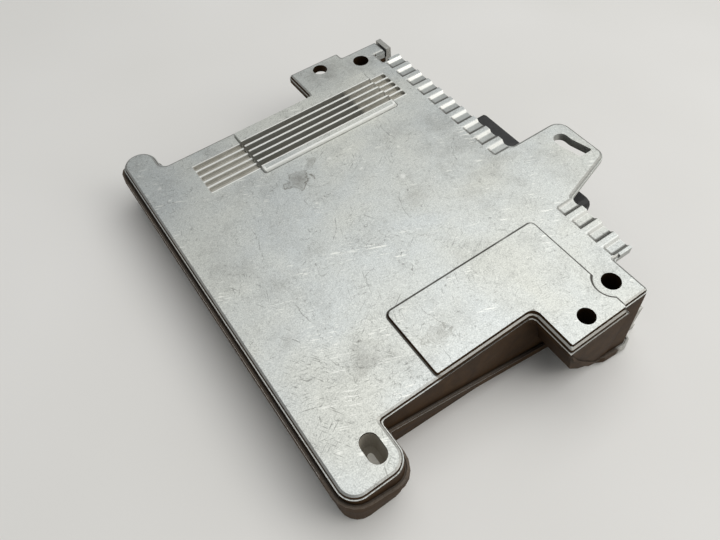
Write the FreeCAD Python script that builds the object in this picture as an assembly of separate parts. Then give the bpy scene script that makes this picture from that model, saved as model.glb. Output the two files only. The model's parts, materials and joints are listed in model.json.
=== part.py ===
import FreeCAD, Part
import math
import os

Vec = FreeCAD.Vector

# Engine control unit: a two-piece die-cast case with mounting ears, a finned pad, a fluted lip over
# the plug opening, and the board with its parts inside. All sizes are in millimetres.
# Everything is drawn in the lid's own frame: x runs from the closed side to the plug side, y to the
# back, z up, and z = 0 is the plain part of the lid's top face. At the end the whole unit is
# turned and moved so that its flat base lies level and centred at z = 0.

# Main body
body_length = 143.0
body_width = 160.7
closed_side_height = 26.8
base_slope = 0.114
parting_drop = 4.6
parting_slope = 0.245
lid_thickness = 4.0
side_wall = 2.8
draft_angle = 3.5
wall_reach = 50.0
edge_round = 1.2
ledge_width = 0.45
ledge_drop = 1.5
cavity_round = 2.9

# Heights and reach safely beyond the case, for cutters and slabs
cut_bottom = -80.0
cut_top = 10.0
cut_reach = 150.0
cut_margin = 1.0
cut_overlap = 0.01

# Corners of large_round or more are true arcs, except on the tapered walls, which have wall_chords
# on each. Smaller ones are drawn with two chords, and those under tiny_round with one.
large_round = 3.0
tiny_round = 1.0
wall_chords = 5

# Ears, tabs and corner columns that carry the mounting bolts
front_ear_width = 26.3
front_ear_reach = 18.4
back_ear_width = 15.4
back_ear_reach = 15.6
ear_round = 7.5
back_ear_root_round = 4.5
small_round = 1.5
sharp_round = 0.6
column_round = 0.8
front_tab_root_round = 2.2
front_column_root_round = 3.5
back_column_root_round = 4.0
ear_base_rise = 2.5
ear_underside_room = 8.0
slot_end_flat = 0.05
ear_slot_x = 18.3
ear_slot_inset = 6.65
ear_slot_width = 7.5
ear_slot_length = 12.2
ear_slot_depth = 14.5
ear_slot_taper = 1.0
ear_slot_dish = 3.0
tab_reach = 20.3
front_tab_inset = 13.7
front_tab_width = 31.0
back_tab_inset = 15.6
back_tab_width = 30.4
tab_bore_radius = 3.75
front_tab_bore_across = 15.3
back_tab_bore_across = 15.5
front_tab_bore_inset = 7.9
back_tab_bore_inset = 6.6
corner_bore_inset = 9.4
corner_bore_reach = 6.55
corner_bore_radius = 4.1
front_column_width = 17.0
front_column_reach = 18.0
back_column_width = 18.0
back_column_reach = 15.6
back_column_overhang = 6.3
back_column_front_reach = 5.95

# Sloping underside of the front tab. Each place is its distance from the tab's left side and its
# share of the way down to the parting plane: the lid casting's edge, then the band of the lower
# cover that follows it, then the cover's own underside.
gusset_edge_shares = [(0.2, 0.063), (2.7, 0.204), (6.1, 0.388), (11.3, 0.598), (19.2, 0.866), (24.5, 1.0)]
gusset_band_shares = [(3.7, 0.345), (5.5, 0.436), (10.1, 0.648), (14.4, 0.829), (19.5, 0.983)]
gusset_foot_shares = [(7.2, 0.769), (14.6, 0.998), (19.4, 1.083)]
gusset_band_proud = 0.6
gusset_foot_inset = 1.2
gusset_root = 0.5
gusset_overlap = 2.0

# Plate with the fluted lip and the slotted tongue over the plug
lip_overhang = 9.9
lip_back_inset = 0.75
lip_sharp_length = 6.9
flute_pitch = 8.85
flute_width = 6.0
flute_depth = 1.2
flute_slope = 1.05
flute_round = 0.9
flute_root_gap = 0.2
flute_back_inset = 1.9
flute_front_inset = 1.3
back_flute_count = 10
front_flute_count = 4
tongue_reach = 31.2
tongue_width = 39.1
tongue_front_inset = 33.75
tongue_slant = 0.31
tongue_root_round = 3.6
tongue_front_round = 4.5
tongue_back_round = 7.0
tongue_slot_end_inset = 13.1
tongue_slot_width = 7.3
tongue_slot_back_inset = 7.2
tongue_slot_length = 16.9
tongue_slot_bend = 6.5
tongue_slot_skew = 2.6
tongue_slot_bend_round = 5.0
tongue_slot_corner_round = 1.0

# Finned pad and plain panel raised on the lid
raised_height = 1.0
raised_slope = 0.5
raised_root = 0.5
raised_round = 2.2
raised_small_round = 0.8
pad_left = 52.5
pad_right_inset = 14.6
pad_reach = 33.45
panel_right_inset = 13.8
panel_reach = 34.05
panel_relief_radius = 7.8
groove_count = 5
groove_pitch = 4.09
groove_width = 3.05
groove_first_inset = 10.95
groove_left = 26.8
groove_right_inset = 6.2
groove_deep_inset = 30.2
groove_depth = 1.5
groove_extra_depth = 1.1
groove_round = 0.8
pad_slab_bottom = -6.5
pad_slab_margin = 4.0

# Lower cover and its seal
flange_margin = 1.7
flange_height = 3.0
bead_gap = 0.7
bead_height = 0.5
cover_margin = 0.9
cover_taper = 1.0
cover_floor = 2.2
rib_width = 2.0
rib_height = 1.8
rib_length_shares = (0.245, 0.364, 0.643, 0.762)
rib_width_shares = (-0.25, 0.0, 0.25)
rib_plug_gap = 8.2
seal_width = 1.3
seal_depth = 0.9
seal_inset = 0.8
lug_gap = 0.5
lug_root = 2.0
back_lug_reach = 9.6
front_lug_reach = 8.5
front_lug_foot_reach = 11.0
front_lug_front_reach = 16.65
front_lug_width = 3.6
front_lug_top = -24.0
front_lug_step = -41.0

# Screws that hold the cover
post_radius = 4.2
cover_post_radius = 5.6
screw_post_inset = 8.3
screw_plug_side_inset = 10.3
screw_shank_radius = 1.95
screw_head_radius = 3.5
screw_head_height = 2.4
screw_clearance = 0.1
screw_seat_height = 4.4
screw_seat_skin = 1.6
screw_bite = 6.0
screw_top_skin = 2.2
socket_radius = 1.6
socket_depth = 1.3
head_sides = 12
socket_sides = 6
post_sides = 8
small_screw_sides = 6

# Circuit board
board_rise = 9.8
board_thickness = 1.6
board_left = 14.0
board_right_inset = 6.0
board_side_gap = 14.35
board_round = 2.5
board_post_clearance = 0.4
board_screw_radius = 1.15
board_screw_head_radius = 2.6
board_screw_head_height = 1.8
board_screw_bite = 6.0
board_post_radius = 3.2
board_screw_edge = 5.5

# Plug shell and pins
plug_width = 77.0
plug_height = 20.4
plug_side_shift = -6.3
plug_reach = 30.2
plug_rear_inset = 10.8
plug_round = 2.9
plug_wall = 2.2
plug_cavity_depth = 20.0
plug_seal_thickness = 1.0
plug_seal_inset = 5.5
plug_seal_length = 7.7
latch_width = 9.0
latch_height = 2.4
latch_gap = 11.0
latch_length = 7.0
latch_spread = 22.0
key_spread = 30.0
key_width = 1.6
key_height = 1.6
key_setback = 3.0
pin_size = 1.0
pin_pitch = 5.6
pin_row_spacing = 4.6
pin_reach = 12.0
pin_rows = (12, 11, 12)
pin_tail_inset = 2.0
pin_tail_step = 2.6

# Power transistors clamped to the slab under the fins, one group on each side of the middle post
transistor_count = 3
transistor_pitch = 11.5
transistor_width = 10.0
transistor_body_length = 9.0
transistor_tab_length = 15.5
transistor_tab_thickness = 1.3
transistor_body_thickness = 3.2
transistor_setback = 5.1
transistor_lead_reach = 3.2
transistor_lead_pitch = 2.54
transistor_lead_size = 0.8
insulator_thickness = 0.3
insulator_margin = 0.6
clamp_thickness = 0.8
clamp_width = 4.0
clamp_foot_reach = 3.0
clamp_screw_bite = 1.8
clamp_screw_head_radius = 2.0
spacer_radius = 2.2

front = -body_width / 2
back = body_width / 2
front_ear_y = front - front_ear_reach
back_ear_y = back + back_ear_reach
ear_bottom = ear_base_rise - closed_side_height
front_tab_y = front - tab_reach
back_tab_y = back + tab_reach
front_tab_right = body_length - front_tab_inset
front_tab_left = front_tab_right - front_tab_width
back_tab_right = body_length - back_tab_inset
back_tab_left = back_tab_right - back_tab_width
front_column_y = front - front_column_reach
front_column_left = body_length - front_column_width
back_column_y = back + back_column_reach
back_column_front_y = back + back_column_front_reach
back_column_left = body_length - back_column_width
back_column_right = body_length + back_column_overhang
lip_tip_x = body_length + lip_overhang
tongue_end_x = lip_tip_x + tongue_reach
tongue_front_y = front + tongue_front_inset
tongue_back_y = tongue_front_y + tongue_width
pad_right = body_length - pad_right_inset
pad_front_y = back - pad_reach
board_top = board_rise - closed_side_height
board_bottom = board_top - board_thickness
board_right = body_length - board_right_inset
board_half_width = body_width / 2 - board_side_gap
plug_top = board_bottom
plug_bottom = plug_top - plug_height
plug_end_x = body_length + plug_reach
plug_rear_x = body_length - plug_rear_inset
plug_floor_x = plug_end_x - plug_cavity_depth
insulator_bottom = pad_slab_bottom - insulator_thickness
tab_bottom = insulator_bottom - transistor_tab_thickness
transistor_bottom = tab_bottom - transistor_body_thickness
transistor_front_y = pad_front_y + transistor_setback
clamp_y = transistor_front_y + transistor_body_length / 2
clamp_foot_y = transistor_front_y + transistor_tab_length + clamp_foot_reach
tilt = math.degrees(math.atan(base_slope))


def parting_z(x):
    return -(parting_drop + parting_slope * x)


def base_z(x):
    return -(closed_side_height + base_slope * x)


def outline(corners, large_chords=0):
    """Anticlockwise (x, y, radius) corners, each with its number of chords; 0 stands for a true arc."""
    marked = []
    for x, y, radius in corners:
        small_chords = 2 if radius >= tiny_round else 1
        marked.append((x, y, radius, large_chords if radius >= large_round else small_chords))
    return marked


def corner_arc(before, corner, after, radius):
    """Arc that rounds one corner of an outline."""
    to_before = (before - corner).normalize()
    to_after = (after - corner).normalize()
    half_angle = to_before.getAngle(to_after) / 2
    reach = radius / math.tan(half_angle)
    middle_line = (to_before + to_after).normalize()
    middle = corner + middle_line * (radius / math.sin(half_angle) - radius)
    return Part.Arc(corner + to_before * reach, middle, corner + to_after * reach).toShape()


def loop_edges(corners, z):
    """Edges of the closed outline at height z, in order, with every corner rounded."""
    points = [Vec(x, y, z) for x, y, radius, chords in corners]
    bends = []
    for i, (x, y, radius, chords) in enumerate(corners):
        if radius > 0:
            arc = corner_arc(points[i - 1], points[i], points[(i + 1) % len(points)], radius)
            bends.append((arc.discretize(max(chords, 1) + 1), [] if chords else [arc]))
        else:
            bends.append(([points[i]], []))
    edges = []
    for i, (stops, arcs) in enumerate(bends):
        edges += arcs or [Part.LineSegment(a, b).toShape() for a, b in zip(stops, stops[1:])]
        edges.append(Part.LineSegment(stops[-1], bends[(i + 1) % len(bends)][0][0]).toShape())
    return edges


def grown(corners, amount):
    """The same anticlockwise outline with every side moved outward by amount."""
    result = []
    for i, (x, y, radius, chords) in enumerate(corners):
        corner = Vec(x, y, 0)
        before = Vec(corners[i - 1][0], corners[i - 1][1], 0)
        after = Vec(corners[(i + 1) % len(corners)][0], corners[(i + 1) % len(corners)][1], 0)
        into = (corner - before).normalize()
        out = (after - corner).normalize()
        into_normal = Vec(into.y, -into.x, 0)
        out_normal = Vec(out.y, -out.x, 0)
        moved = corner + (into_normal + out_normal) * (amount / (1 + into_normal.dot(out_normal)))
        if radius > 0:
            turns_left = into.cross(out).z > 0
            radius = max(radius + amount, 0.3) if turns_left else max(radius - max(amount, 0), 0.3)
        result.append((moved.x, moved.y, radius, chords))
    return result


def prism(corners, z_low, z_high):
    return Part.Face(Part.Wire(loop_edges(corners, z_low))).extrude(Vec(0, 0, z_high - z_low))


def side_face(lower, upper):
    """Face between two matching outline edges: flat between lines, conical between arcs."""
    if lower.Curve.TypeId == "Part::GeomLine":
        a, b = [vertex.Point for vertex in lower.Vertexes]
        c, d = [vertex.Point for vertex in upper.Vertexes]
        return Part.Face(Part.makePolygon([a, b, d, c, a]))
    return Part.makeLoft([Part.Wire([lower]), Part.Wire([upper])], False, True).Faces[0]


def stacked(levels):
    """Solid through matching outlines, given as (corners, z) from one end to the other."""
    loops = [loop_edges(corners, z) for corners, z in levels]
    faces = [Part.Face(Part.Wire(loops[0])), Part.Face(Part.Wire(loops[-1]))]
    for lower, upper in zip(loops, loops[1:]):
        faces += [side_face(a, b) for a, b in zip(lower, upper)]
    shell = Part.makeShell(faces)
    shell.sewShape()
    return Part.makeSolid(shell)


def growth_over(depth):
    return depth * math.tan(math.radians(draft_angle))


def drafted(corners, z_top):
    """Wall solid that widens evenly on its way down from z_top."""
    return stacked([(corners, z_top), (grown(corners, growth_over(wall_reach)), z_top - wall_reach)])


def rectangle(x_low, y_low, x_high, y_high, radius=0.0):
    corners = ((x_low, y_low), (x_high, y_low), (x_high, y_high), (x_low, y_high))
    return outline([(x, y, radius) for x, y in corners], wall_chords)


def block(x_low, x_high, y_low, y_high, z_low, z_high):
    return Part.makeBox(x_high - x_low, y_high - y_low, z_high - z_low, Vec(x_low, y_low, z_low))


def post(x, y, z_low, z_high, radius):
    return Part.makeCylinder(radius, z_high - z_low, Vec(x, y, z_low))


def many_sided_post(x, y, z_low, z_high, radius, sides):
    """Post with a few flat sides, for small repeated pieces."""
    angles = [2 * math.pi * (i + 0.5) / sides for i in range(sides)]
    corners = [(x + radius * math.cos(angle), y + radius * math.sin(angle), 0) for angle in angles]
    return prism(outline(corners), z_low, z_high)


def upright(points, y_low, y_high):
    """Flat shape given by (x, z) points, drawn out along y."""
    corners = [Vec(x, y_low, z) for x, z in points]
    return Part.Face(Part.makePolygon(corners + corners[:1])).extrude(Vec(0, y_high - y_low, 0))


def far_above(x):
    return -cut_bottom


def sloped_slab(upper, lower):
    """Everything between two sloping planes, each given as a height for a place along x."""
    x_low, x_high = -cut_reach / 2, 2 * cut_reach
    points = [(x_low, lower(x_low)), (x_high, lower(x_high)), (x_high, upper(x_high)), (x_low, upper(x_low))]
    return upright(points, -cut_reach, cut_reach)


def fused(shapes):
    whole = shapes[0]
    for shape in shapes[1:]:
        whole = whole.fuse(shape)
    return whole


def lid_outline():
    """Plan of the whole lid plate, anticlockwise from the front ear."""
    lip_back_y = back - lip_back_inset
    return outline([
        (0, front_ear_y, ear_round), (front_ear_width, front_ear_y, ear_round),
        (front_ear_width, front, small_round), (front_tab_left, front, front_tab_root_round),
        (front_tab_left, front_tab_y, small_round), (front_tab_right, front_tab_y, small_round),
        (front_tab_right, front_column_y, sharp_round), (body_length, front_column_y, small_round),
        (body_length, front, column_round), (lip_tip_x, front, sharp_round),
        (lip_tip_x, tongue_front_y, tongue_root_round),
        (tongue_end_x, tongue_front_y + tongue_reach * tongue_slant, tongue_front_round),
        (tongue_end_x, tongue_back_y, tongue_back_round), (lip_tip_x, tongue_back_y, tongue_root_round),
        (lip_tip_x, lip_back_y, sharp_round), (body_length, lip_back_y, sharp_round),
        (body_length, back_column_front_y, sharp_round),
        (back_column_right, back_column_front_y, column_round),
        (back_column_right, back_column_y, small_round), (back_tab_right, back_column_y, small_round),
        (back_tab_right, back_tab_y, small_round), (back_tab_left, back_tab_y, small_round),
        (back_tab_left, back, small_round), (back_ear_width, back, back_ear_root_round),
        (back_ear_width, back_ear_y, ear_round), (0, back_ear_y, ear_round),
    ])


def deep_outline():
    """Plan of the walls, ears and columns below the lid plate."""
    return outline([
        (0, front_ear_y, ear_round), (front_ear_width, front_ear_y, ear_round),
        (front_ear_width, front, small_round), (front_column_left, front, front_column_root_round),
        (front_column_left, front_column_y, small_round), (body_length, front_column_y, small_round),
        (body_length, back_column_front_y, column_round),
        (back_column_right, back_column_front_y, column_round),
        (back_column_right, back_column_y, small_round),
        (back_column_left, back_column_y, back_column_root_round),
        (back_column_left, back, front_column_root_round), (back_ear_width, back, back_ear_root_round),
        (back_ear_width, back_ear_y, ear_round), (0, back_ear_y, ear_round),
    ], wall_chords)


def lid_plate():
    """Lid plate with a rounded top arris over a thin proud ledge; the fluted lip stays sharp."""
    skin = grown(lid_outline(), -ledge_width)
    levels = []
    for degrees in (0, 45, 90):
        angle = math.radians(degrees)
        levels.append((grown(skin, -edge_round * (1 - math.sin(angle))), -edge_round * (1 - math.cos(angle))))
    levels.append((skin, -lid_thickness))
    plate = stacked(levels)
    lip_left = lip_tip_x - lip_sharp_length
    keep = tongue_root_round + ledge_width
    return plate.multiFuse([
        prism(lid_outline(), -lid_thickness, -ledge_drop),
        block(lip_left, lip_tip_x, front, tongue_front_y - keep, -lid_thickness, 0),
        block(lip_left, lip_tip_x, tongue_back_y + keep, back - lip_back_inset, -lid_thickness, 0)])


def mirrored_places(x_places, reach):
    return [(x, side * reach) for x in x_places for side in (-1, 1)]


def screw_post_places():
    x_places = (screw_post_inset, body_length / 2, body_length - screw_plug_side_inset)
    return mirrored_places(x_places, back - screw_post_inset)


def board_screw_places():
    left = board_left + board_screw_edge
    right = board_right - board_screw_edge
    return mirrored_places((left, (left + right) / 2, right), board_half_width - board_screw_edge)


def transistor_group_starts():
    """First transistor of each group; each group is centred between two board posts."""
    posts = sorted({x for x, y in board_screw_places()})
    half_run = transistor_pitch * (transistor_count - 1) / 2
    return [(a + b) / 2 - half_run for a, b in zip(posts, posts[1:])]


def clamp_screw_places():
    return [(start + transistor_pitch * (i + 0.5), clamp_foot_y)
            for start in transistor_group_starts() for i in range(transistor_count - 1)]


def corner_bore_places():
    x = body_length - corner_bore_inset
    return [(x, front - corner_bore_reach), (x, back + corner_bore_reach)]


def tab_bore_places():
    return [(front_tab_left + front_tab_bore_across, front_tab_y + front_tab_bore_inset),
            (back_tab_left + back_tab_bore_across, back_tab_y - back_tab_bore_inset)]


def bolt_holes():
    holes = [post(x, y, cut_bottom, cut_top, corner_bore_radius) for x, y in corner_bore_places()]
    return holes + [post(x, y, cut_bottom, cut_top, tab_bore_radius) for x, y in tab_bore_places()]


def ear_slot():
    """Tapered blind slot in the front ear, dished at its floor."""
    x, y = ear_slot_x, front - ear_slot_inset
    half_w = ear_slot_width / 2
    half_l = ear_slot_length / 2
    mouth = rectangle(x - half_w, y - half_l, x + half_w, y + half_l, half_w - slot_end_flat)
    taper = -ear_slot_taper
    return stacked([(mouth, cut_overlap), (grown(mouth, taper), ear_slot_dish - ear_slot_depth),
                    (grown(mouth, taper - ear_slot_dish / 2), -ear_slot_depth)])


def flute(centre_y):
    """Flat-bottomed flute with sloping sides, open at the lip's tip."""
    half = flute_width / 2
    left, right = body_length + flute_root_gap, lip_tip_x + half
    mouth = rectangle(left, centre_y - half, right, centre_y + half, flute_round)
    return stacked([(mouth, cut_overlap), (grown(mouth, -flute_slope), -flute_depth)])


def flute_places():
    first_back = back - lip_back_inset - flute_back_inset - flute_width / 2
    first_front = front + flute_front_inset + flute_width / 2
    back_group = [first_back - i * flute_pitch for i in range(back_flute_count)]
    front_group = [first_front + i * flute_pitch for i in range(front_flute_count)]
    return back_group + front_group


def tongue_slot():
    """Slot through the tongue that leans away from the lip towards its front end."""
    back_y = tongue_back_y - tongue_slot_back_inset
    front_y = back_y - tongue_slot_length
    bend_y = back_y - tongue_slot_bend
    left = tongue_end_x - tongue_slot_end_inset
    right = left + tongue_slot_width
    end_round = tongue_slot_width / 2 - slot_end_flat
    corners = [(left + tongue_slot_skew, front_y, tongue_slot_corner_round),
               (right + tongue_slot_skew, front_y, sharp_round), (right, bend_y, tongue_slot_bend_round),
               (right, back_y, end_round), (left, back_y, end_round), (left, bend_y, tongue_slot_bend_round)]
    return prism(outline(corners), -lid_thickness - cut_margin, cut_margin)


def raised_island(corners):
    """Low flat-topped island whose sides slope."""
    island = stacked([(corners, 0), (grown(corners, -raised_slope), raised_height)])
    return island.fuse(prism(corners, -raised_root, 0))


def fin_pad():
    edge = back - edge_round - ledge_width
    return raised_island(outline([
        (pad_left, pad_front_y, raised_small_round), (pad_right, pad_front_y, raised_round),
        (pad_right, edge, raised_small_round), (pad_left, edge, raised_small_round)]))


def plain_panel():
    inset = edge_round + ledge_width
    left, right = front_tab_left + inset, body_length - panel_right_inset
    low_y, high_y = front_tab_y + inset, front + panel_reach
    corners = [(pad_left, front + inset, raised_small_round),
               (left, front + inset, front_tab_root_round + inset), (left, low_y, raised_small_round),
               (right, low_y, raised_small_round), (right, high_y, raised_round),
               (pad_left, high_y, raised_round)]
    x, y = corner_bore_places()[0]
    return raised_island(outline(corners)).cut(post(x, y, 0, cut_top, panel_relief_radius))


def grooves():
    """Grooves between the fins: shallow at both ends, deeper between."""
    cutters = []
    for i in range(groove_count):
        centre = back - groove_first_inset - i * groove_pitch
        low, high = centre - groove_width / 2, centre + groove_width / 2
        long_groove = rectangle(groove_left, low, body_length - groove_right_inset, high, groove_round)
        deep_groove = rectangle(pad_left, low, body_length - groove_deep_inset, high, groove_round)
        cutters.append(prism(long_groove, -groove_depth, cut_top))
        cutters.append(prism(deep_groove, -groove_depth - groove_extra_depth, cut_top))
    return cutters


def main_rectangle(inset, radius):
    return rectangle(inset, front + inset, body_length - inset, back - inset, radius)


def cavity():
    """Room inside the lid casting, with the slab under the fins left standing."""
    space = drafted(main_rectangle(side_wall, cavity_round), -lid_thickness)
    left = groove_left - pad_slab_margin
    low_y = pad_front_y - pad_slab_margin
    return space.cut(block(left, lip_tip_x, low_y, back_tab_y, pad_slab_bottom, 0))


def plug_section(margin, x_low, x_high):
    """Length of the plug shell's rounded outline, grown by margin, from x_low to x_high."""
    half = plug_width / 2
    section = rectangle(plug_side_shift - half, plug_bottom, plug_side_shift + half, plug_top, plug_round)
    corners = grown(section, margin)
    along_x = FreeCAD.Matrix(0, 0, 1, 0, 1, 0, 0, 0, 0, 1, 0, 0, 0, 0, 0, 1)
    return prism(corners, x_low, x_high).transformed(along_x)


def plug_opening():
    return plug_section(plug_seal_thickness, plug_rear_x - cut_margin, plug_end_x)


def gusset_points(shares):
    """Places under the front tab, each a share of the way down to the parting plane."""
    return [(front_tab_left + across, parting_z(front_tab_left + across) * share) for across, share in shares]


def gusset():
    """Block below the front tab whose left side slopes in on its way down."""
    right = front_tab_right
    edge = gusset_points(gusset_edge_shares)
    points = [(front_tab_left, -ledge_drop)] + edge + [(right, parting_z(right)), (right, -ledge_drop)]
    return upright(points, front_tab_y, front + gusset_root)


def screw_seat_z(x):
    """Height of the face that a cover screw's head pulls against."""
    return base_z(x) + min(screw_seat_height, parting_z(x) - base_z(x) - screw_seat_skin)


def screw_tip_z(x):
    return min(parting_z(x) + screw_bite, -screw_top_skin)


def upper_housing():
    above = sloped_slab(far_above, parting_z)
    walls = drafted(deep_outline(), -ledge_drop).common(above).cut(cavity())
    pieces = [walls, lid_plate(), gusset().common(above), fin_pad(), plain_panel()]
    for x, y in screw_post_places():
        foot = parting_z(x) - post_radius
        pieces.append(many_sided_post(x, y, foot, -lid_thickness / 2, post_radius, post_sides).common(above))
    for x, y in board_screw_places():
        pieces.append(many_sided_post(x, y, board_top, -lid_thickness / 2, board_post_radius, post_sides))
    cutters = [flute(y) for y in flute_places()] + grooves() + bolt_holes() + [tongue_slot(), ear_slot()]
    for x, y in screw_post_places():
        cutters.append(many_sided_post(x, y, cut_bottom, screw_tip_z(x), screw_shank_radius, post_sides))
    for x, y in board_screw_places():
        tip = board_top + board_screw_bite
        cutters.append(many_sided_post(x, y, board_bottom, tip, board_screw_radius, small_screw_sides))
    for x, y in clamp_screw_places():
        tip = pad_slab_bottom + clamp_screw_bite
        cutters.append(many_sided_post(x, y, transistor_bottom, tip, board_screw_radius, small_screw_sides))
    return fused(pieces).cut(cutters + [plug_opening()]).removeSplitter()


# Lower cover

def cover_outer():
    """Outside of the cover: body, wider flange under the parting plane and the bead on its edge."""
    wall = grown(deep_outline(), cover_margin)
    body = stacked([(wall, -ledge_drop), (grown(wall, -cover_taper), -ledge_drop - wall_reach)])
    flange = drafted(grown(deep_outline(), flange_margin), -ledge_drop)
    bead_top = sloped_slab(lambda x: parting_z(x) + bead_height, lambda x: parting_z(x) - flange_height)
    flange = flange.common(bead_top)
    groove = drafted(grown(deep_outline(), bead_gap), -ledge_drop).common(sloped_slab(far_above, parting_z))
    flange = flange.cut(groove).common(sloped_slab(far_above, base_z))
    return body.common(sloped_slab(parting_z, base_z)).fuse(flange)


def cover_gusset():
    """Part of the lower cover that follows the sloping underside of the front tab."""
    end_x = front_column_left + gusset_overlap
    edge = gusset_points(gusset_edge_shares)
    middle = gusset_points(gusset_band_shares)
    underside = gusset_points(gusset_foot_shares)
    end_z = parting_z(end_x)
    band = edge + [(end_x, end_z), (end_x, end_z - gusset_overlap)] + middle[::-1]
    foot = middle + [(end_x, end_z + cut_margin), (end_x, base_z(end_x) + cut_margin)] + underside[::-1]
    wall_y = front + gusset_root
    return [upright(band, front_tab_y - gusset_band_proud, wall_y),
            upright(foot, front_tab_y + gusset_foot_inset, wall_y)]


def cover_lugs():
    """Upright lugs of the cover beside the two corner columns."""
    root_x = back_column_right - lug_root
    end_x = body_length + back_lug_reach
    foot_x = end_x + growth_over(wall_reach)
    back_points = [(root_x, 0), (end_x, 0), (foot_x, -wall_reach), (root_x, -wall_reach)]
    low_y = front - front_lug_front_reach
    high_y = low_y + front_lug_width
    lugs = fused([
        upright(back_points, back_column_front_y, back_column_y),
        block(body_length, body_length + front_lug_reach, low_y, high_y, -wall_reach, front_lug_top),
        block(body_length, body_length + front_lug_foot_reach, low_y, high_y, -wall_reach, front_lug_step)])
    beside_lid = block(root_x, back_column_right + lug_gap, back_column_front_y - cut_margin,
                       back_column_y + cut_margin, -lid_thickness - lug_gap, cut_top)
    room = drafted(grown(deep_outline(), lug_gap), -ledge_drop).fuse(beside_lid)
    standing = lugs.common(sloped_slab(far_above, parting_z)).cut(room)
    return [standing, lugs.common(sloped_slab(parting_z, base_z))]


def cover_seal():
    """Bead in the cover's rim, broken where the plug passes."""
    outer = drafted(main_rectangle(seal_inset, cavity_round), -ledge_drop)
    inner = drafted(main_rectangle(seal_inset + seal_width, cavity_round - seal_width / 2), -ledge_drop)
    band = sloped_slab(parting_z, lambda x: parting_z(x) - seal_depth)
    half = plug_width / 2 + plug_seal_thickness
    low_y, high_y = plug_side_shift - half, plug_side_shift + half
    return outer.cut(inner).common(band).cut(block(plug_rear_x, plug_end_x, low_y, high_y, cut_bottom, 0))


def cover_ribs():
    """Ribs that cross the cover's floor inside."""
    half = rib_width / 2
    across_x = [body_length * share for share in rib_length_shares]
    along_y = [body_width * share for share in rib_width_shares]
    end_x = plug_rear_x - rib_plug_gap
    ribs = [block(x - half, x + half, front + side_wall, back - side_wall, cut_bottom, 0) for x in across_x]
    ribs += [block(side_wall, end_x, y - half, y + half, cut_bottom, 0) for y in along_y]
    return fused(ribs).common(sloped_slab(lambda x: base_z(x) + cover_floor + rib_height, base_z))


def lower_cover(lid, seal):
    floor = sloped_slab(far_above, lambda x: base_z(x) + cover_floor)
    room = prism(main_rectangle(side_wall, cavity_round), cut_bottom, cut_top).common(floor)
    below = sloped_slab(parting_z, base_z)
    pieces = [fused([cover_outer()] + cover_gusset() + cover_lugs()).cut(room), cover_ribs()]
    for x, y in screw_post_places():
        pieces.append(many_sided_post(x, y, cut_bottom, 0, cover_post_radius, post_sides).common(below))
    cutters = [lid, seal, ear_slot(), plug_opening()] + bolt_holes()
    room = ear_underside_room
    for width, low_y, high_y in ((front_ear_width, front_ear_y - room, front - cover_margin),
                                 (back_ear_width, back + cover_margin, back_ear_y + room)):
        cutters.append(block(-room, width + room, low_y, high_y, cut_bottom, ear_bottom))
    for x, y in screw_post_places():
        cutters.append(many_sided_post(x, y, cut_bottom, 0, screw_shank_radius + screw_clearance, post_sides))
        well_radius = screw_head_radius + screw_clearance
        cutters.append(many_sided_post(x, y, cut_bottom, screw_seat_z(x), well_radius, head_sides))
    return fused(pieces).cut(cutters).removeSplitter()


def screw(x, y, seat, tip, shank_radius, shank_sides, head_radius, head_height, sides):
    """Screw that enters upwards from seat to tip."""
    shank = many_sided_post(x, y, seat, tip, shank_radius, shank_sides)
    return shank.fuse(many_sided_post(x, y, seat - head_height, seat, head_radius, sides))


def cover_screws():
    screws = []
    for x, y in screw_post_places():
        low_z = screw_seat_z(x) - screw_head_height
        body = screw(x, y, screw_seat_z(x), screw_tip_z(x), screw_shank_radius, post_sides,
                     screw_head_radius, screw_head_height, head_sides)
        socket = many_sided_post(x, y, low_z - cut_margin, low_z + socket_depth, socket_radius, socket_sides)
        screws.append(body.cut(socket))
    return screws


# Circuit board and the parts on it

# Places on the board are (share of its length, share of its half width).
micro_place = (0.39, 0.04)
micro_size = (28.0, 28.0, 3.4)
micro_lead_count = 7
micro_lead_pitch = 3.6
driver_ends = ((0.2, -0.52), (0.66, -0.52))
driver_count = 4
driver_size = (13.0, 7.6, 2.4)
driver_lead_count = 3
driver_lead_pitch = 4.0
conditioner_ends = ((0.17, 0.5), (0.54, 0.5))
conditioner_count = 4
conditioner_size = (9.0, 4.0, 1.7)
conditioner_lead_count = 3
conditioner_lead_pitch = 3.0
diode_ends = ((0.12, 0.65), (0.5, 0.65))
diode_count = 6
diode_size = (4.6, 2.8, 2.0)
memory_place = (0.71, 0.06)
socket_size = (21.0, 16.0, 4.4)
memory_size = (19.0, 13.0, 3.4)
socket_edge = 2.5
socket_floor = 0.8
film_ends = ((0.19, -0.76), (0.53, -0.76))
film_count = 5
film_size = (7.2, 4.2, 7.5)
resistor_ends = ((0.18, -0.66), (0.67, -0.66))
resistor_count = 14
second_resistor_ends = ((0.33, -0.3), (0.52, -0.3))
second_resistor_count = 6
resistor_size = (1.25, 2.0, 0.6)
ceramic_ends = ((0.56, -0.24), (0.56, 0.14))
ceramic_count = 6
second_ceramic_ends = ((0.225, -0.24), (0.225, 0.21))
second_ceramic_count = 7
ceramic_size = (2.0, 1.25, 1.1)
inductor_ends = ((0.12, -0.04), (0.12, 0.2))
inductor_count = 2
inductor_height = 8.0
inductor_radius = 5.6
inductor_core_radius = 4.4
winding_radius = 5.0
winding_low = 1.4
winding_high = 6.6
can_ends = ((0.66, -0.29), (0.88, -0.29))
can_count = 3
can_radius = 4.4
can_height = 10.0
small_can_place = (0.9, 0.5)
small_can_radius = 3.6
small_can_height = 8.0
can_chamfer = 0.6
can_sides = 10
crystal_place = (0.39, 0.34)
crystal_size = (11.4, 4.4, 3.6)
crystal_flange = (12.4, 5.2, 0.5)
crystal_round = 1.6
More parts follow.
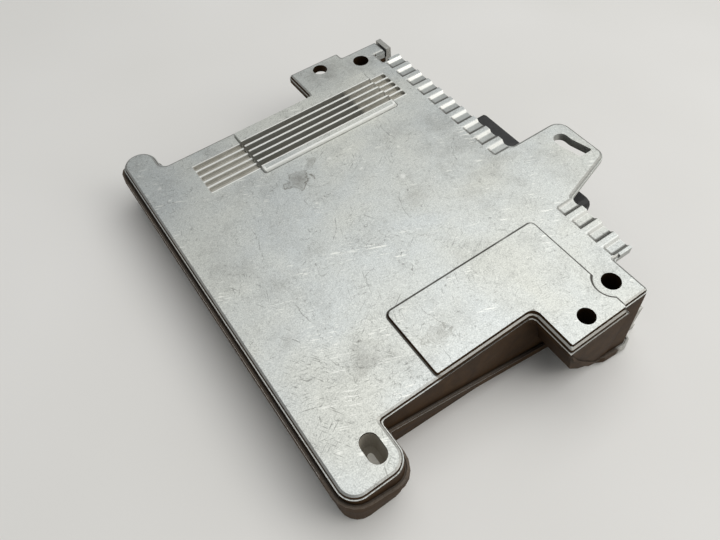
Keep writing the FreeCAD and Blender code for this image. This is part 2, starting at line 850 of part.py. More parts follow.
shunt_ends = ((0.79, -0.7), (0.89, -0.7))
shunt_count = 3
shunt_size = (2.4, 12.0, 3.4)
shunt_leg = 1.0
shunt_thickness = 0.6
regulator_place = (0.085, -0.36)
regulator_size = (9.2, 10.2, 4.3)
regulator_lift = 0.6
regulator_tab = (4.0, 9.6, 1.3)
regulator_tab_offset = 6.0
package_slope = 0.3
package_lift = 0.4
lead_foot = 0.5
lead_reach = 1.8
lead_width = 0.6
lead_thickness = 0.3


def board_place(share_x, share_y):
    return board_left + share_x * (board_right - board_left), share_y * board_half_width


def board_row(ends, count):
    """Evenly spaced places on the board from the first end to the second."""
    first, last = board_place(*ends[0]), board_place(*ends[1])
    steps = [i / (count - 1) for i in range(count)]
    return [(first[0] + (last[0] - first[0]) * t, first[1] + (last[1] - first[1]) * t) for t in steps]


def circuit_board():
    board = prism(rectangle(board_left, -board_half_width, board_right, board_half_width, board_round),
                  board_bottom, board_top)
    low_z, high_z = board_bottom - cut_margin, board_top + cut_margin
    hole = board_screw_radius + screw_clearance
    cutters = [many_sided_post(x, y, low_z, high_z, hole, small_screw_sides) for x, y in board_screw_places()]
    post_room = cover_post_radius + board_post_clearance
    cutters += [many_sided_post(x, y, low_z, high_z, post_room, post_sides) for x, y in screw_post_places()]
    return board.cut(cutters)


def board_screws():
    tip = board_top + board_screw_bite
    return [screw(x, y, board_bottom, tip, board_screw_radius, small_screw_sides, board_screw_head_radius,
                  board_screw_head_height, post_sides) for x, y in board_screw_places()]


def on_board(place, size, radius=0.0, lift=0.0):
    """Upright block of (length, width, height) on the board."""
    x, y = place
    length, width, height = size
    corners = rectangle(x - length / 2, y - width / 2, x + length / 2, y + width / 2, radius)
    return prism(corners, board_top + lift, board_top + lift + height)


def package(place, size, lift=package_lift):
    """Moulded package whose upper and lower halves slope in."""
    x, y = place
    length, width, height = size
    middle = rectangle(x - length / 2, y - width / 2, x + length / 2, y + width / 2)
    low, high = board_top + lift, board_top + lift + height
    narrow = grown(middle, -package_slope)
    return stacked([(narrow, low), (middle, (low + high) / 2), (narrow, high)])


def lead_row(x, y, count, pitch, top, turn):
    """Row of sloping leads that leave a package edge at (x, y) and come down to the board."""
    points = [(0, top), (lead_reach, 0), (lead_reach - lead_foot, 0), (0, top - lead_thickness)]
    leads = []
    for i in range(count):
        lead = upright(points, -lead_width / 2, lead_width / 2)
        lead.translate(Vec(0, (i - (count - 1) / 2) * pitch, 0))
        lead.rotate(Vec(0, 0, 0), Vec(0, 0, 1), turn)
        lead.translate(Vec(x, y, board_top))
        leads.append(lead)
    return leads


def two_lead_rows(places, size, count, pitch):
    """Rows of leads along both long edges of each package."""
    length, width, height = size
    top = package_lift + height / 2
    leads = []
    for x, y in places:
        leads += lead_row(x, y + width / 2, count, pitch, top, 90)
        leads += lead_row(x, y - width / 2, count, pitch, top, -90)
    return leads


def driver_places():
    return board_row(driver_ends, driver_count)


def conditioner_places():
    return board_row(conditioner_ends, conditioner_count)


def inductor_places():
    return board_row(inductor_ends, inductor_count)


def chip_leads():
    x, y = board_place(*micro_place)
    length, width, height = micro_size
    top = package_lift + height / 2
    leads = two_lead_rows([(x, y)], micro_size, micro_lead_count, micro_lead_pitch)
    leads += lead_row(x + length / 2, y, micro_lead_count, micro_lead_pitch, top, 0)
    leads += lead_row(x - length / 2, y, micro_lead_count, micro_lead_pitch, top, 180)
    leads += two_lead_rows(driver_places(), driver_size, driver_lead_count, driver_lead_pitch)
    return leads + two_lead_rows(conditioner_places(), conditioner_size, conditioner_lead_count,
                                 conditioner_lead_pitch)


def memory_socket():
    length, width, height = socket_size
    well = (length - 2 * socket_edge, width - 2 * socket_edge, height)
    place = board_place(*memory_place)
    return on_board(place, socket_size).cut(on_board(place, well, 0, socket_floor))


def drum(place, low, high, radius):
    """Many-sided upright piece between two heights over the board."""
    return many_sided_post(place[0], place[1], board_top + low, board_top + high, radius, can_sides)


def can(place, radius, height):
    """Capacitor can whose top edge is chamfered."""
    angles = [2 * math.pi * (i + 0.5) / can_sides for i in range(can_sides)]
    rim = outline([(place[0] + radius * math.cos(a), place[1] + radius * math.sin(a), 0) for a in angles])
    return stacked([(rim, board_top), (rim, board_top + height - can_chamfer),
                    (grown(rim, -can_chamfer), board_top + height)])


def electrolytic_capacitors():
    cans = [can(place, can_radius, can_height) for place in board_row(can_ends, can_count)]
    return cans + [can(board_place(*small_can_place), small_can_radius, small_can_height)]


def film_capacitors():
    return [on_board(place, film_size) for place in board_row(film_ends, film_count)]


def crystal():
    place = board_place(*crystal_place)
    return on_board(place, crystal_size, crystal_round).fuse(on_board(place, crystal_flange, crystal_round))


def inductor_core(place):
    """Spool with a flange at each end."""
    return fused([drum(place, 0, winding_low, inductor_radius),
                  drum(place, winding_low, winding_high, inductor_core_radius),
                  drum(place, winding_high, inductor_height, inductor_radius)])


def inductor_winding(place):
    wound = drum(place, winding_low, winding_high, winding_radius)
    return wound.cut(drum(place, winding_low, winding_high, inductor_core_radius))


def shunt_resistors():
    """Strips of resistance metal standing on two legs."""
    width, length, height = shunt_size
    strips = []
    for x, y in board_row(shunt_ends, shunt_count):
        low_y, high_y = y - length / 2, y + length / 2
        outer = block(x - width / 2, x + width / 2, low_y, high_y, board_top, board_top + height)
        under = block(x - width, x + width, low_y + shunt_leg, high_y - shunt_leg,
                      board_top, board_top + height - shunt_thickness)
        strips.append(outer.cut(under))
    return strips


def voltage_regulator():
    x, y = board_place(*regulator_place)
    length, width, height = regulator_size
    foot = (length - 2 * package_slope, width - 2 * package_slope, regulator_lift)
    return fused([package((x, y), regulator_size, regulator_lift), on_board((x, y), foot),
                  on_board((x + regulator_tab_offset, y), regulator_tab)])


def ceramic_capacitors():
    places = board_row(ceramic_ends, ceramic_count) + board_row(second_ceramic_ends, second_ceramic_count)
    return [on_board(place, ceramic_size) for place in places]


def chip_resistors():
    places = board_row(resistor_ends, resistor_count) + board_row(second_resistor_ends, second_resistor_count)
    return [on_board(place, resistor_size) for place in places]


# Power transistors under the finned pad

def transistor_places():
    steps = [transistor_pitch * i for i in range(transistor_count)]
    return [start + step for start in transistor_group_starts() for step in steps]


def group_spans():
    half = transistor_width / 2
    run = transistor_pitch * (transistor_count - 1)
    return [(start - half, start + run + half) for start in transistor_group_starts()]


def transistor_insulators():
    margin = insulator_margin
    low_y, high_y = transistor_front_y - margin, transistor_front_y + transistor_tab_length + margin
    return [block(low - margin, high + margin, low_y, high_y, insulator_bottom, pad_slab_bottom)
            for low, high in group_spans()]


def transistor_tabs():
    """Metal tabs on the insulator, with the leads that come down to the board."""
    half = transistor_width / 2
    half_lead = transistor_lead_size / 2
    out_y = transistor_front_y - transistor_lead_reach
    middle_z = (tab_bottom + transistor_bottom) / 2
    end_y = transistor_front_y + transistor_tab_length
    pieces = []
    for x in transistor_places():
        pieces.append(block(x - half, x + half, transistor_front_y, end_y, tab_bottom, insulator_bottom))
        for i in (-1, 0, 1):
            low, high = x + i * transistor_lead_pitch - half_lead, x + i * transistor_lead_pitch + half_lead
            flat = block(low, high, out_y, transistor_front_y, middle_z - half_lead, middle_z + half_lead)
            down = block(low, high, out_y - transistor_lead_size, out_y, board_top, middle_z + half_lead)
            pieces.append(flat.fuse(down).removeSplitter())
    return pieces


def power_transistors():
    half = transistor_width / 2
    end_y = transistor_front_y + transistor_body_length
    return [block(x - half, x + half, transistor_front_y, end_y, transistor_bottom, tab_bottom)
            for x in transistor_places()]


def clamp_holes():
    radius = board_screw_radius + screw_clearance
    low_z = transistor_bottom - clamp_thickness - cut_margin
    return [many_sided_post(x, y, low_z, pad_slab_bottom, radius, small_screw_sides)
            for x, y in clamp_screw_places()]


def transistor_clamps():
    """Spring strips that press the transistors to the slab and are screwed on behind them."""
    low_z = transistor_bottom - clamp_thickness
    low_y, high_y = clamp_y - clamp_width / 2, clamp_foot_y + clamp_width / 2
    strips = [block(low, high, low_y, high_y, low_z, transistor_bottom) for low, high in group_spans()]
    return [strip.cut(clamp_holes()) for strip in strips]


def clamp_spacers():
    """Sleeves between the slab and each spring strip."""
    sleeves = [many_sided_post(x, y, transistor_bottom, pad_slab_bottom, spacer_radius, small_screw_sides)
               for x, y in clamp_screw_places()]
    return [sleeve.cut(hole) for sleeve, hole in zip(sleeves, clamp_holes())]


def clamp_screws():
    seat, tip = transistor_bottom - clamp_thickness, pad_slab_bottom + clamp_screw_bite
    return [screw(x, y, seat, tip, board_screw_radius, small_screw_sides, clamp_screw_head_radius,
                  board_screw_head_height, post_sides) for x, y in clamp_screw_places()]


# Plug

def connector_pins():
    """Square pins that pass through the shell and bend up to the board."""
    half = pin_size / 2
    tip_x = plug_floor_x + pin_reach
    pins = []
    for row, count in enumerate(pin_rows):
        z = (plug_top + plug_bottom) / 2 + (1 - row) * pin_row_spacing
        tail_x = plug_rear_x - pin_tail_inset - pin_tail_step * row
        points = [(tip_x, z - half), (tip_x, z + half), (tail_x + pin_size, z + half),
                  (tail_x + pin_size, board_bottom), (tail_x, board_bottom), (tail_x, z - half)]
        for i in range(count):
            y = plug_side_shift + (i - (count - 1) / 2) * pin_pitch
            pins.append(upright(points, y - half, y + half))
    return pins


def connector_shell(pins):
    socket = plug_section(-plug_wall, plug_floor_x, plug_end_x + cut_margin)
    pieces = [plug_section(0, plug_rear_x, plug_end_x).cut(socket)]
    root = plug_wall / 4
    latch_x, latch_z = body_length + latch_gap, plug_top - root
    latch_points = [(latch_x, latch_z), (latch_x + latch_length, latch_z), (latch_x, plug_top + latch_height)]
    key_x, key_end_x = plug_floor_x - root, plug_end_x - key_setback
    key_z = plug_bottom + plug_wall - root
    for side in (-1, 1):
        y = plug_side_shift + side * latch_spread
        pieces.append(upright(latch_points, y - latch_width / 2, y + latch_width / 2))
        y = plug_side_shift + side * key_spread - key_width / 2
        pieces.append(block(key_x, key_end_x, y, y + key_width, key_z, key_z + root + key_height))
    return fused(pieces).cut(pins)


def connector_seal():
    start, end = body_length - plug_seal_inset, body_length - plug_seal_inset + plug_seal_length
    hole = plug_section(0, start - cut_margin, end + cut_margin)
    return plug_section(plug_seal_thickness, start, end).cut(hole)


def build():
    lid = upper_housing()
    seal = cover_seal()
    pins = connector_pins()
    return {
        "upper_housing": lid,
        "lower_cover": lower_cover(lid, seal),
        "cover_seal": seal,
        "cover_screws": cover_screws(),
        "circuit_board": circuit_board(),
        "board_screws": board_screws(),
        "connector_shell": connector_shell(pins),
        "connector_pins": pins,
        "connector_seal": connector_seal(),
        "microcontroller": package(board_place(*micro_place), micro_size),
        "memory_socket": memory_socket(),
        "program_memory": package(board_place(*memory_place), memory_size, socket_size[2]),
        "output_drivers": [package(place, driver_size) for place in driver_places()],
        "input_conditioners": [package(place, conditioner_size) for place in conditioner_places()],
        "chip_leads": chip_leads(),
        "power_transistors": power_transistors(),
        "transistor_tabs": transistor_tabs(),
        "transistor_insulators": transistor_insulators(),
        "transistor_clamps": transistor_clamps(),
        "clamp_spacers": clamp_spacers(),
        "clamp_screws": clamp_screws(),
        "electrolytic_capacitors": electrolytic_capacitors(),
        "film_capacitors": film_capacitors(),
        "ceramic_capacitors": ceramic_capacitors(),
        "chip_resistors": chip_resistors(),
        "crystal": crystal(),
        "inductor_cores": [inductor_core(place) for place in inductor_places()],
        "inductor_windings": [inductor_winding(place) for place in inductor_places()],
        "shunt_resistors": shunt_resistors(),
        "diodes": [package(place, diode_size, 0) for place in board_row(diode_ends, diode_count)],
        "voltage_regulator": voltage_regulator(),
    }


def placed(shapes):
    """Every piece turned so the base is level, then centred over the origin with the base at z = 0."""
    level = FreeCAD.Placement(Vec(0, 0, 0), FreeCAD.Rotation(Vec(0, 1, 0), -tilt)).toMatrix()
    turned = {}
    for name, shape in shapes.items():
        solids = shape if isinstance(shape, list) else shape.Solids
        group = solids[0] if len(solids) == 1 else Part.makeCompound(solids)
        turned[name] = group.transformed(level, copy=True)
    box = Part.makeCompound(list(turned.values())).optimalBoundingBox(False, False)
    shift = Vec(-(box.XMin + box.XMax) / 2, -(box.YMin + box.YMax) / 2, -box.ZMin)
    for group in turned.values():
        group.translate(shift)
    print("moved by", round(shift.x, 4), round(shift.y, 4), round(shift.z, 4))
    return turned


if __name__ == "__main__":
    os.makedirs("parts", exist_ok=True)
    for name, shape in placed(build()).items():
        print(name, shape.ShapeType, shape.isValid(), len(shape.Solids), round(shape.Volume))
        shape.exportStep("parts/" + name + ".step")
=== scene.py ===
import bpy
import json
import math
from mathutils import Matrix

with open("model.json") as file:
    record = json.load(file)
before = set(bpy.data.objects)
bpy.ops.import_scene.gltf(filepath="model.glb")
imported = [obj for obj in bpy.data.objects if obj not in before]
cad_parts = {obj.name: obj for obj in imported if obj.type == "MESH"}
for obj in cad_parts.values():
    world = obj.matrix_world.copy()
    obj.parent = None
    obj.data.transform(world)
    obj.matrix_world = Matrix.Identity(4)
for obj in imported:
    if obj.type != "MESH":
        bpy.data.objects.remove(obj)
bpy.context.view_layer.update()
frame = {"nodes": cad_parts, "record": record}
nodes = frame["nodes"]
bpy.ops.object.select_all(action="DESELECT")
print("frame loaded, nodes:", len(nodes))

mm = 0.001
lidSlope = 0.114  # the lid's top face climbs this much towards the plug
lidTilt = math.atan(lidSlope)
lidUp = (-math.sin(lidTilt), 0, math.cos(lidTilt))


def hexColor(text):
    parts = [int(text[i:i + 2], 16) / 255 for i in (0, 2, 4)]
    linear = [p / 12.92 if p <= 0.04045 else ((p + 0.055) / 1.055) ** 2.4 for p in parts]
    return (*linear, 1.0)


# Adds one node and gives back one of its outputs, or all of them. The sockets are a list in the node's own
# order, or a dictionary. A value that is another node's output is linked. A MapRange takes the value, the two
# ends of the range that it comes from and, where they aren't 0 and 1, the two that it goes to.
def addNode(tree, kind, sockets=(), out=0, **settings):
    node = tree.nodes.new("ShaderNode" + kind)
    for name, value in settings.items():
        setattr(node, name, value)
    given = sockets.items() if isinstance(sockets, dict) else enumerate(sockets)
    for key, value in given:
        if isinstance(value, bpy.types.NodeSocket):
            tree.links.new(value, node.inputs[key])
        else:
            node.inputs[key].default_value = value
    return node.outputs if out is None else node.outputs[out]


# a new material, its tree, each point's place in mm and the direction its face looks in
def newMaterial(name):
    material = bpy.data.materials.new(name)
    material.use_nodes = True
    tree = material.node_tree
    tree.nodes.clear()
    coords = addNode(tree, "TexCoord", out=None)
    place = addNode(tree, "VectorMath", [coords["Object"], (1 / mm, 1 / mm, 1 / mm)], operation="MULTIPLY")
    return material, tree, place, coords["Normal"]


def closeMaterial(tree, sockets):
    shader = addNode(tree, "BsdfPrincipled", sockets)
    addNode(tree, "OutputMaterial", {"Surface": shader}, None)


# masks: where all of them hold, where any of them holds, and where one doesn't
def allOf(tree, *masks):
    held = masks[0]
    for mask in masks[1:]:
        held = addNode(tree, "Math", [held, mask], operation="MULTIPLY")
    return held


def anyOf(tree, *masks):
    held = masks[0]
    for mask in masks[1:]:
        held = addNode(tree, "Math", [held, mask], operation="MAXIMUM")
    return held


def notIn(tree, mask):
    return addNode(tree, "Math", [1.0, mask], operation="SUBTRACT")


# a mask that rises just below the low value and falls just above the high one
def between(tree, value, low, high, soft=0.1):
    rising = addNode(tree, "MapRange", [value, low - soft, low])
    falling = addNode(tree, "MapRange", [value, high, high + soft, 1.0, 0.0])
    return allOf(tree, rising, falling)


# lays a colour over a tone as far as all the masks hold
def layColor(tree, tone, color, *masks):
    over = hexColor(color) if isinstance(color, str) else color
    return addNode(tree, "Mix", {0: allOf(tree, *masks), 6: tone, 7: over}, 2, data_type="RGBA")


# thin lines: noise drawn out along one direction of the lid plane and cut at a level
def scratchLines(tree, place, angle, widthMm, lengthMm, cut, fade=0.04):
    turned = addNode(tree, "Mapping", {"Vector": place, "Rotation": (0, 0, math.radians(angle))})
    drawn = addNode(tree, "VectorMath", [turned, (1 / lengthMm, 1 / widthMm, 0.2)], operation="MULTIPLY")
    lines = addNode(tree, "TexNoise", {"Vector": drawn, "Scale": 1.0, "Detail": 1.0})
    return addNode(tree, "MapRange", [lines, cut, cut + fade])


# how far a point of the lid is from a centre: in mm, or in shares of the two radii
def awayFrom(tree, flat, centre, radii=(1, 1)):
    away = addNode(tree, "VectorMath", [flat, (*centre, 0)], operation="SUBTRACT")
    scaled = addNode(tree, "VectorMath", [away, (1 / radii[0], 1 / radii[1], 1)], operation="MULTIPLY")
    return addNode(tree, "VectorMath", [scaled], "Value", operation="LENGTH")


# how far a point of the lid is outside a rounded rectangle, in mm
def fromBox(tree, flat, box):
    inner = (box["half"][0] - box["round"], box["half"][1] - box["round"], 0)
    away = addNode(tree, "VectorMath", [flat, (*box["middle"], 0)], operation="SUBTRACT")
    away = addNode(tree, "VectorMath", [away], operation="ABSOLUTE")
    away = addNode(tree, "VectorMath", [away, inner], operation="SUBTRACT")
    outside = addNode(tree, "VectorMath", [away, (0, 0, 0)], operation="MAXIMUM")
    length = addNode(tree, "VectorMath", [outside], "Value", operation="LENGTH")
    alongX, alongY, alongZ = addNode(tree, "SeparateXYZ", [away], None)
    inside = addNode(tree, "Math", [anyOf(tree, alongX, alongY), 0.0], operation="MINIMUM")
    total = addNode(tree, "Math", [length, inside], operation="ADD")
    return addNode(tree, "Math", [total, box["round"]], operation="SUBTRACT")


# how far a point is from the nearest of a row of equal forms, in mm, with a sign
def fromNearest(tree, y, first, pitch):
    off = addNode(tree, "Math", [y, first], operation="SUBTRACT")
    turn = addNode(tree, "Math", [off, pitch], operation="DIVIDE")
    nearest = addNode(tree, "Math", [turn], operation="ROUND")
    rest = addNode(tree, "Math", [turn, nearest], operation="SUBTRACT")
    return addNode(tree, "Math", [rest, pitch], operation="MULTIPLY")


# camera, from the photo's own edges: 720 by 540 frame
camera = {"place": (-134.17, -149.05, 235.98), "turn": (38.346, -2.771, -34.69), "lens": 31.73,
          "sensor": 36, "nearest": 0.005}
bpy.ops.object.camera_add()
cameraObject = bpy.context.object
cameraObject.name = "photo_camera"
cameraObject.location = [v * mm for v in camera["place"]]
cameraObject.rotation_euler = [math.radians(v) for v in camera["turn"]]
cameraObject.data.lens = camera["lens"]
cameraObject.data.sensor_width = camera["sensor"]
cameraObject.data.clip_start = camera["nearest"]
bpy.context.scene.camera = cameraObject
bpy.context.scene.view_settings.view_transform = "Standard"
print("camera set")


# pale floor and soft lights
floor = {"size": 6.0, "drop": 0.0002, "tones": ("dedcd8", "e4e2df"), "rough": 0.8,
         "cloud": {"Scale": 1 / 180, "Detail": 2, "Roughness": 0.55}, "cloudy": (0.3, 0.7)}
bpy.ops.mesh.primitive_plane_add(size=floor["size"], location=(0, 0, -floor["drop"]))
floorObject = bpy.context.object
floorObject.name = "studio_floor"
floorMaterial, tree, place, facing = newMaterial("studio_floor")
cloud = addNode(tree, "TexNoise", {"Vector": place, **floor["cloud"]})
cloudy = addNode(tree, "MapRange", [cloud, *floor["cloudy"]])
floorTone = layColor(tree, hexColor(floor["tones"][0]), floor["tones"][1], cloudy)
closeMaterial(tree, {"Base Color": floorTone, "Roughness": floor["rough"]})
floorObject.data.materials.append(floorMaterial)

daylight = {"color": "e0e3e4", "strength": 0.42}
world = bpy.data.worlds.new("studio_world")
bpy.context.scene.world = world
world.use_nodes = True
world.node_tree.nodes["Background"].inputs["Color"].default_value = hexColor(daylight["color"])
world.node_tree.nodes["Background"].inputs["Strength"].default_value = daylight["strength"]

lights = [
    {"name": "ceiling_panel", "place": (0.3, -0.06, 1.25), "size": (1.8, 1.5), "power": 13.2,
     "color": "fdfdfc"},
    {"name": "right_window", "place": (0.62, -0.78, 0.8), "size": (0.8, 0.8), "power": 3.0,
     "color": "fffcf6"},
]
for light in lights:
    bpy.ops.object.light_add(type="AREA", location=light["place"])
    lamp = bpy.context.object
    lamp.name = light["name"]
    lamp.data.shape = "RECTANGLE"
    lamp.data.size, lamp.data.size_y = light["size"]
    lamp.data.energy = light["power"]
    lamp.data.color = hexColor(light["color"])[:3]
    away = -lamp.location
    lamp.rotation_euler = away.to_track_quat("-Z", "Y").to_euler()
print("floor and lights set")


# Die-cast aluminium, bare and aged. The mould leaves a fine sandy skin, handling leaves scuffs and short
# dark scratches on the lid and rubs the arrises bright, where a painted highlight adds to it; the side walls
# carry a painted dull brown shade that stands for the dark floor they reflect, and steps and recesses a
# painted shade.
casting = {
    "patterns": {"stain": {"Scale": 1 / 46, "Detail": 3, "Roughness": 0.5, "Distortion": 0.4},
                 "patch": {"Scale": 1 / 13, "Detail": 3, "Roughness": 0.6, "Distortion": 0.3},
                 "speck": {"Scale": 1 / 1.5, "Detail": 3, "Roughness": 0.7},
                 "grain": {"Scale": 1 / 0.5, "Detail": 2, "Roughness": 0.7}},
    # pattern, where it starts and is full, how much of it shows, and its tone
    "coats": (("stain", 0.36, 0.66, 1.0, "warm"), ("patch", 0.5, 0.8, 0.4, "dark"),
              ("grain", 0.5, 0.76, 0.6, "dark"), ("grain", 0.5, 0.26, 0.55, "bright"),
              ("speck", 0.5, 0.72, 0.28, "dark")),
    "pits": {"crowd": (0.42, 0.62, 0.035, 0.0), "cut": (0.64, 0.69), "amount": 0.42, "tone": "55534e"},
    "rough": (0.3, 0.7, 0.36, 0.48), "rougherGrain": 0.12, "metal": 0.88,
    # relief: shares of the sandy grain, the scratches and the pits, then depths in mm and strengths
    "sand": 0.5, "scratchCut": 0.5, "pitCut": 0.6, "sandDepth": 0.03, "sandStrength": 0.9,
    "wavy": {"Scale": 1 / 24, "Detail": 1, "Roughness": 0.55}, "wavyDepth": 0.25, "wavyStrength": 0.6,
}

# Scratches all over the skin: short dark ones, small curled ones and pale rubbed lines. A cut is the range of
# a noise from where a line or a place starts to where it is full.
scratches = {
    # angle, width and length in mm, cut, and the size in mm of the places where they crowd
    "straight": ((58, 0.4, 5, 0.66, 17), (-32, 0.38, 8, 0.67, 23), (12, 0.4, 4, 0.67, 19),
                 (-70, 0.38, 7, 0.68, 27)),
    "fade": 0.03, "crowds": {"Detail": 2, "Roughness": 0.5, "Distortion": 0.8},
    "crowdCut": (0.53, 0.64, 0.06, 1.0),
    # size in mm of the curls and of the places where they lie
    "curled": ((5.5, 11), (3.2, 14)), "curlWidth": (0.004, 0.016, 1.0, 0.0),
    "curls": {"Detail": 1, "Roughness": 0.5}, "contour": 0.5,
    "curlPlaces": {"Detail": 3, "Roughness": 0.6, "Distortion": 1.0}, "curlCut": (0.6, 0.65),
    "fewerToPlug": (-20.0, 40.0, 1.0, 0.55), "amount": 0.5, "tone": "4b4944",
    "rubbed": {"angle": 24, "widthMm": 0.7, "lengthMm": 8, "cut": 0.6, "fade": 0.06},
    "rubbedPlaces": {"Scale": 1 / 15, "Detail": 2, "Roughness": 0.5, "Distortion": 1.2},
    "rubbedCut": (0.55, 0.66), "rubbedAmount": 0.75,
}


# the cast skin: its tone and the patterns that the other layers use
def castSkin(tree, place, tones, wear):
    skin = {}
    for name, pattern in casting["patterns"].items():
        skin[name] = addNode(tree, "TexNoise", {"Vector": place, **pattern})

    # bluish and warm greys in large soft stains, with a fine sandy grain
    tone = hexColor(tones["cool"])
    for pattern, start, full, amount, shade in casting["coats"]:
        shown = addNode(tree, "MapRange", [skin[pattern], start, full, 0.0, amount])
        tone = layColor(tree, tone, tones[shade], shown)

    # small dark pits, thicker in some places
    pits = casting["pits"]
    crowd = addNode(tree, "MapRange", [skin["patch"], *pits["crowd"]])
    sparse = addNode(tree, "Math", [skin["speck"], crowd], operation="SUBTRACT")
    skin["pits"] = addNode(tree, "MapRange", [sparse, *pits["cut"]])
    tone = layColor(tree, tone, pits["tone"], skin["pits"], pits["amount"] * wear)

    skin["hair"] = darkScratches(tree, place)
    rubbed = scratchLines(tree, place, **scratches["rubbed"])
    rubbedPlaces = addNode(tree, "TexNoise", {"Vector": place, **scratches["rubbedPlaces"]})
    inPlace = addNode(tree, "MapRange", [rubbedPlaces, *scratches["rubbedCut"]])
    skin["tone"] = layColor(tree, tone, tones["bright"], rubbed, inPlace, scratches["rubbedAmount"])
    return skin


# short dark scratches in a few crowded places, and curled ones: short contour lines of a noise
def darkScratches(tree, place):
    found = []
    for angle, widthMm, lengthMm, cut, crowdMm in scratches["straight"]:
        crowd = addNode(tree, "TexNoise", {"Vector": place, "Scale": 1 / crowdMm, **scratches["crowds"]})
        inCrowd = addNode(tree, "MapRange", [crowd, *scratches["crowdCut"]])
        lines = scratchLines(tree, place, angle, widthMm, lengthMm, cut, scratches["fade"])
        found.append(allOf(tree, lines, inCrowd))
    for curlMm, placesMm in scratches["curled"]:
        curl = addNode(tree, "TexNoise", {"Vector": place, "Scale": 1 / curlMm, **scratches["curls"]})
        offContour = addNode(tree, "Math", [curl, scratches["contour"]], operation="SUBTRACT")
        offContour = addNode(tree, "Math", [offContour], operation="ABSOLUTE")
        line = addNode(tree, "MapRange", [offContour, *scratches["curlWidth"]])
        places = addNode(tree, "TexNoise", {"Vector": place, "Scale": 1 / placesMm,
                                            **scratches["curlPlaces"]})
        inPlace = addNode(tree, "MapRange", [places, *scratches["curlCut"]])
        found.append(allOf(tree, line, inPlace))
    x = addNode(tree, "SeparateXYZ", [place], "X")
    fewer = addNode(tree, "MapRange", [x, *scratches["fewerToPlug"]])
    return allOf(tree, anyOf(tree, *found), fewer)


# single marks on the lid, by their places in the part's own frame in mm
lidMarks = {
    # centre, radii and how dark
    "smudges": [((-29, 36), (7, 5.5), 0.62), ((-20.5, 40.5), (3.5, 2.5), 0.5), ((-29, -64), (6, 5), 0.34),
                ((-55, -57), (11, 7), 0.22), ((-66, -10), (8, 10), 0.16), ((6, -5), (12, 7), 0.22),
                ((-74, -29), (7, 8), 0.16), ((-78, 14), (12, 18), 0.14), ((42, 6), (36, 42), 0.17),
                ((76, -28), (22, 22), 0.14), ((22, 90), (28, 12), 0.26)],
    "smudgeTone": "6b665c", "smudgeFade": (0.35, 1.1), "patchy": (0.38, 0.62, 0.35, 1.0),
    "driedFrom": 0.3, "driedRim": (0.82, 0.86, 0.1), "rimMore": 1.3,
    # centre and radius
    "paleSpots": [((-82.6, 68.9), 1.1), ((-82, 59.4), 1.0), ((10.2, 8.5), 1.8), ((-10.3, 38.3), 1.2),
                  ((20, 25), 1.4), ((-2, 24), 1.0)],
    "paleTone": "eeeeea", "paleAmount": 0.55, "paleCore": 0.4,
    # centre and radius of the curve, then centre and radius of the stretch of it that shows
    "arcs": [((-19.5, 34.5), 9.0, (-23.5, 30.5), 9.0), ((-38, 36), 5.0, (-33.5, 39), 4.5),
             ((-10, -53), 16.0, (-25.5, -57), 8.5), ((-58, -70), 27.0, (-31.5, -72), 8.0),
             ((-45, 12), 18.0, (-30, 0), 8.5), ((16, -11), 18.0, (0, -5), 9.0),
             ((-90, 22), 30.0, (-61.5, 14), 11.0), ((-52, -44), 16.0, (-62, -54), 9.0),
             ((-30.5, -30), 5.2, (-34, -27), 6.0), ((47, 36), 26.0, (24, 38), 9.0),
             ((64, -8), 30.0, (38, 9), 12.0), ((-48, -25), 17.0, (-62.5, -26), 8.0)],
    "arcWidth": (0.06, 0.27, 1.0, 0.0), "arcCore": 0.6, "broken": (0.35, 0.55),
    # noise and reach in mm that make an outline ragged, finely or in swirls
    "fine": ({"Scale": 1 / 4.5, "Detail": 2.0}, 3.2),
    "swirled": ({"Scale": 1 / 9.0, "Detail": 3.0, "Distortion": 1.2}, 15),
}


# shifts each point of the lid by a noise, so that a mark drawn there gets a ragged outline
def raggedPlace(tree, place, onLid, pattern, reachMm):
    noise = addNode(tree, "TexNoise", {"Vector": place, **pattern}, "Color")
    centred = addNode(tree, "VectorMath", [noise, (0.5, 0.5, 0.5)], operation="SUBTRACT")
    shift = addNode(tree, "VectorMath", [centred, (reachMm, reachMm, 0)], operation="MULTIPLY")
    return addNode(tree, "VectorMath", [onLid, shift], operation="ADD")


